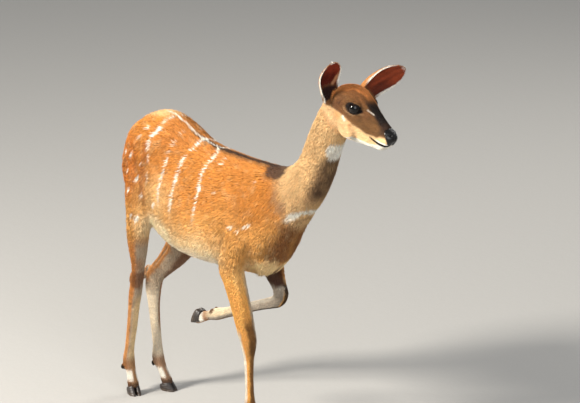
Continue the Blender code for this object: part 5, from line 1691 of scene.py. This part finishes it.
def lashes(name, side):
    """A row of stiff dark lashes along the upper lid."""
    centre, out, ahead, up = eye_axes(side)
    rng = np.random.default_rng(7 + side)
    points, shade = [], []
    for t in np.linspace(-0.86, 0.80, 46):
        u = t * (LID_FRONT if t > 0 else LID_LONG)
        v = LID_HIGH * math.sqrt(max(0.0, 1 - t * t)) * (1 - 0.30 * max(t, 0) ** 2) * 1.04
        w = math.sqrt(max(1e-6, (EYE_R + 0.0016) ** 2 - u * u - v * v))
        base = centre + ahead * u + up * v + out * w
        length = 0.0070 * (0.75 + 0.25 * math.cos(t * 2.2)) * rng.uniform(0.85, 1.1)
        way = unit(out * 0.80 + up * 0.42 + ahead * (t * 0.45) + rng.normal(0, 0.06, 3))
        bend = unit(way + up * 0.45)
        across = unit(np.cross(way, up)) * 0.00022
        thick = unit(np.cross(across, way)) * 0.00022
        mid = base + way * length * 0.5
        points.append([base - way * 0.001, mid - across, mid + thick, mid + across, mid + bend * length * 0.5])
    points = np.array(points)
    count = len(points)
    place = np.stack([np.linspace(0.1, 0.9, count), np.full(count, 0.5 + 0.2 * side)], axis=1)
    return coat_mesh(name, points, np.tile(srgb(18, 14, 13), (count, 5, 1)), place)


for side, word in ((-1, "right"), (1, "left")):
    placed(lashes(f"lashes_{word}", side))

fine = ((44, 56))
for leg, frame_ in foot_frames().items():
    for side, word in ((1, "left"), (-1, "right")):
        name = f"hoof_{leg}_{word}"
        data = claw_form(name, frame_, side, *fine)
        p = points_of(data)
        here = np.array([list(frame_.inverted() @ Vector(q)) for q in p])
        n = normals_of(data)
        down = -here[:, 2] / SOLE_DROP
        sole = ease(0.93, 1.0, down)
        rings = np.sin(down * 24 + 3 * noise(p, 0.012, 41)) * 0.00022 + 0.00018 * noise(p, 0.004, 42)
        worn = 0.0006 * ease(0.86, 1.0, down) * (0.5 + 0.5 * noise(p, 0.006, 43))
        set_points(data, p - n * ((0.0003 - rings) * (1 - sole) + worn * (1 - sole))[:, None])
        colour = np.tile(srgb(38, 31, 27), (len(p), 1))
        colour = lay(p, colour, srgb(78, 62, 48), 0.45 * ease(0.5, 1.0, down + 0.25 * noise(p, 0.008, 44)))
        colour = lay(p, colour, srgb(96, 82, 66), 0.55 * ease(0.25, 0.8, noise(p, 0.005, 45)) * ease(0.6, 1.0, down))
        paint(data, colour)
        data.materials.append(hoof_material)
        data.shade_smooth()
        placed(as_object(name, data, folder), f"claw_{leg}_{word}", finish="hoof")

# ---------------------------------------------------------------- floor, light, camera
mesh = bmesh.new()
bmesh.ops.create_grid(mesh, x_segments=8, y_segments=8, size=24.0)
floor_data = bpy.data.meshes.new("floor")
mesh.to_mesh(floor_data)
mesh.free()
floor = as_object("floor", floor_data, scene.collection)
floor.data.materials.append(material("studio_floor", 0.85, 0.2, base=(0.40, 0.39, 0.37), bumps=((35.0, 0.0006, (1, 1, 1), "noise"),), vary=0.015))

world = bpy.data.worlds.new("studio")
scene.world = world
world.use_nodes = True
world.node_tree.nodes["Background"].inputs["Color"].default_value = (0.93, 0.96, 1.0, 1.0)
world.node_tree.nodes["Background"].inputs["Strength"].default_value = 0.42


def lamp(name, place, aim, size, power_, colour):
    data = bpy.data.lights.new(name, "AREA")
    data.shape = "DISK"
    data.size = size
    data.energy = power_
    data.color = colour
    thing = bpy.data.objects.new(name, data)
    scene.collection.objects.link(thing)
    thing.location = place
    thing.rotation_euler = (Vector(aim) - Vector(place)).to_track_quat("-Z", "Y").to_euler()


lamp("key", (-1.5, -4.1, 3.0), (0.0, 0.0, 0.55), 1.2, 560, (1.0, 0.95, 0.87))
lamp("fill", (4.0, -2.2, 2.6), (0.0, 0.0, 0.6), 4.0, 150, (0.95, 0.97, 1.0))
lamp("rim", (-1.0, 3.6, 3.4), (0.0, 0.0, 0.6), 1.6, 70, (1.0, 0.97, 0.92))
scene.view_settings.view_transform = "Standard"

camera = bpy.data.objects.new("camera", bpy.data.cameras.new("camera"))
scene.collection.objects.link(camera)
azimuth, elevation = math.radians(50), math.radians(15)
away = Vector((math.sin(azimuth) * math.cos(elevation), -math.cos(azimuth) * math.cos(elevation), math.sin(elevation)))
camera.location = Vector((-CENTRE_X, -CENTRE_Y, 0.622)) + away * 9.0
camera.rotation_euler = away.to_track_quat("Z", "Y").to_euler()
camera.data.sensor_width = 36.0
camera.data.lens = 3735 / 580 * 36.0
camera.data.clip_end = 200.0
scene.camera = camera
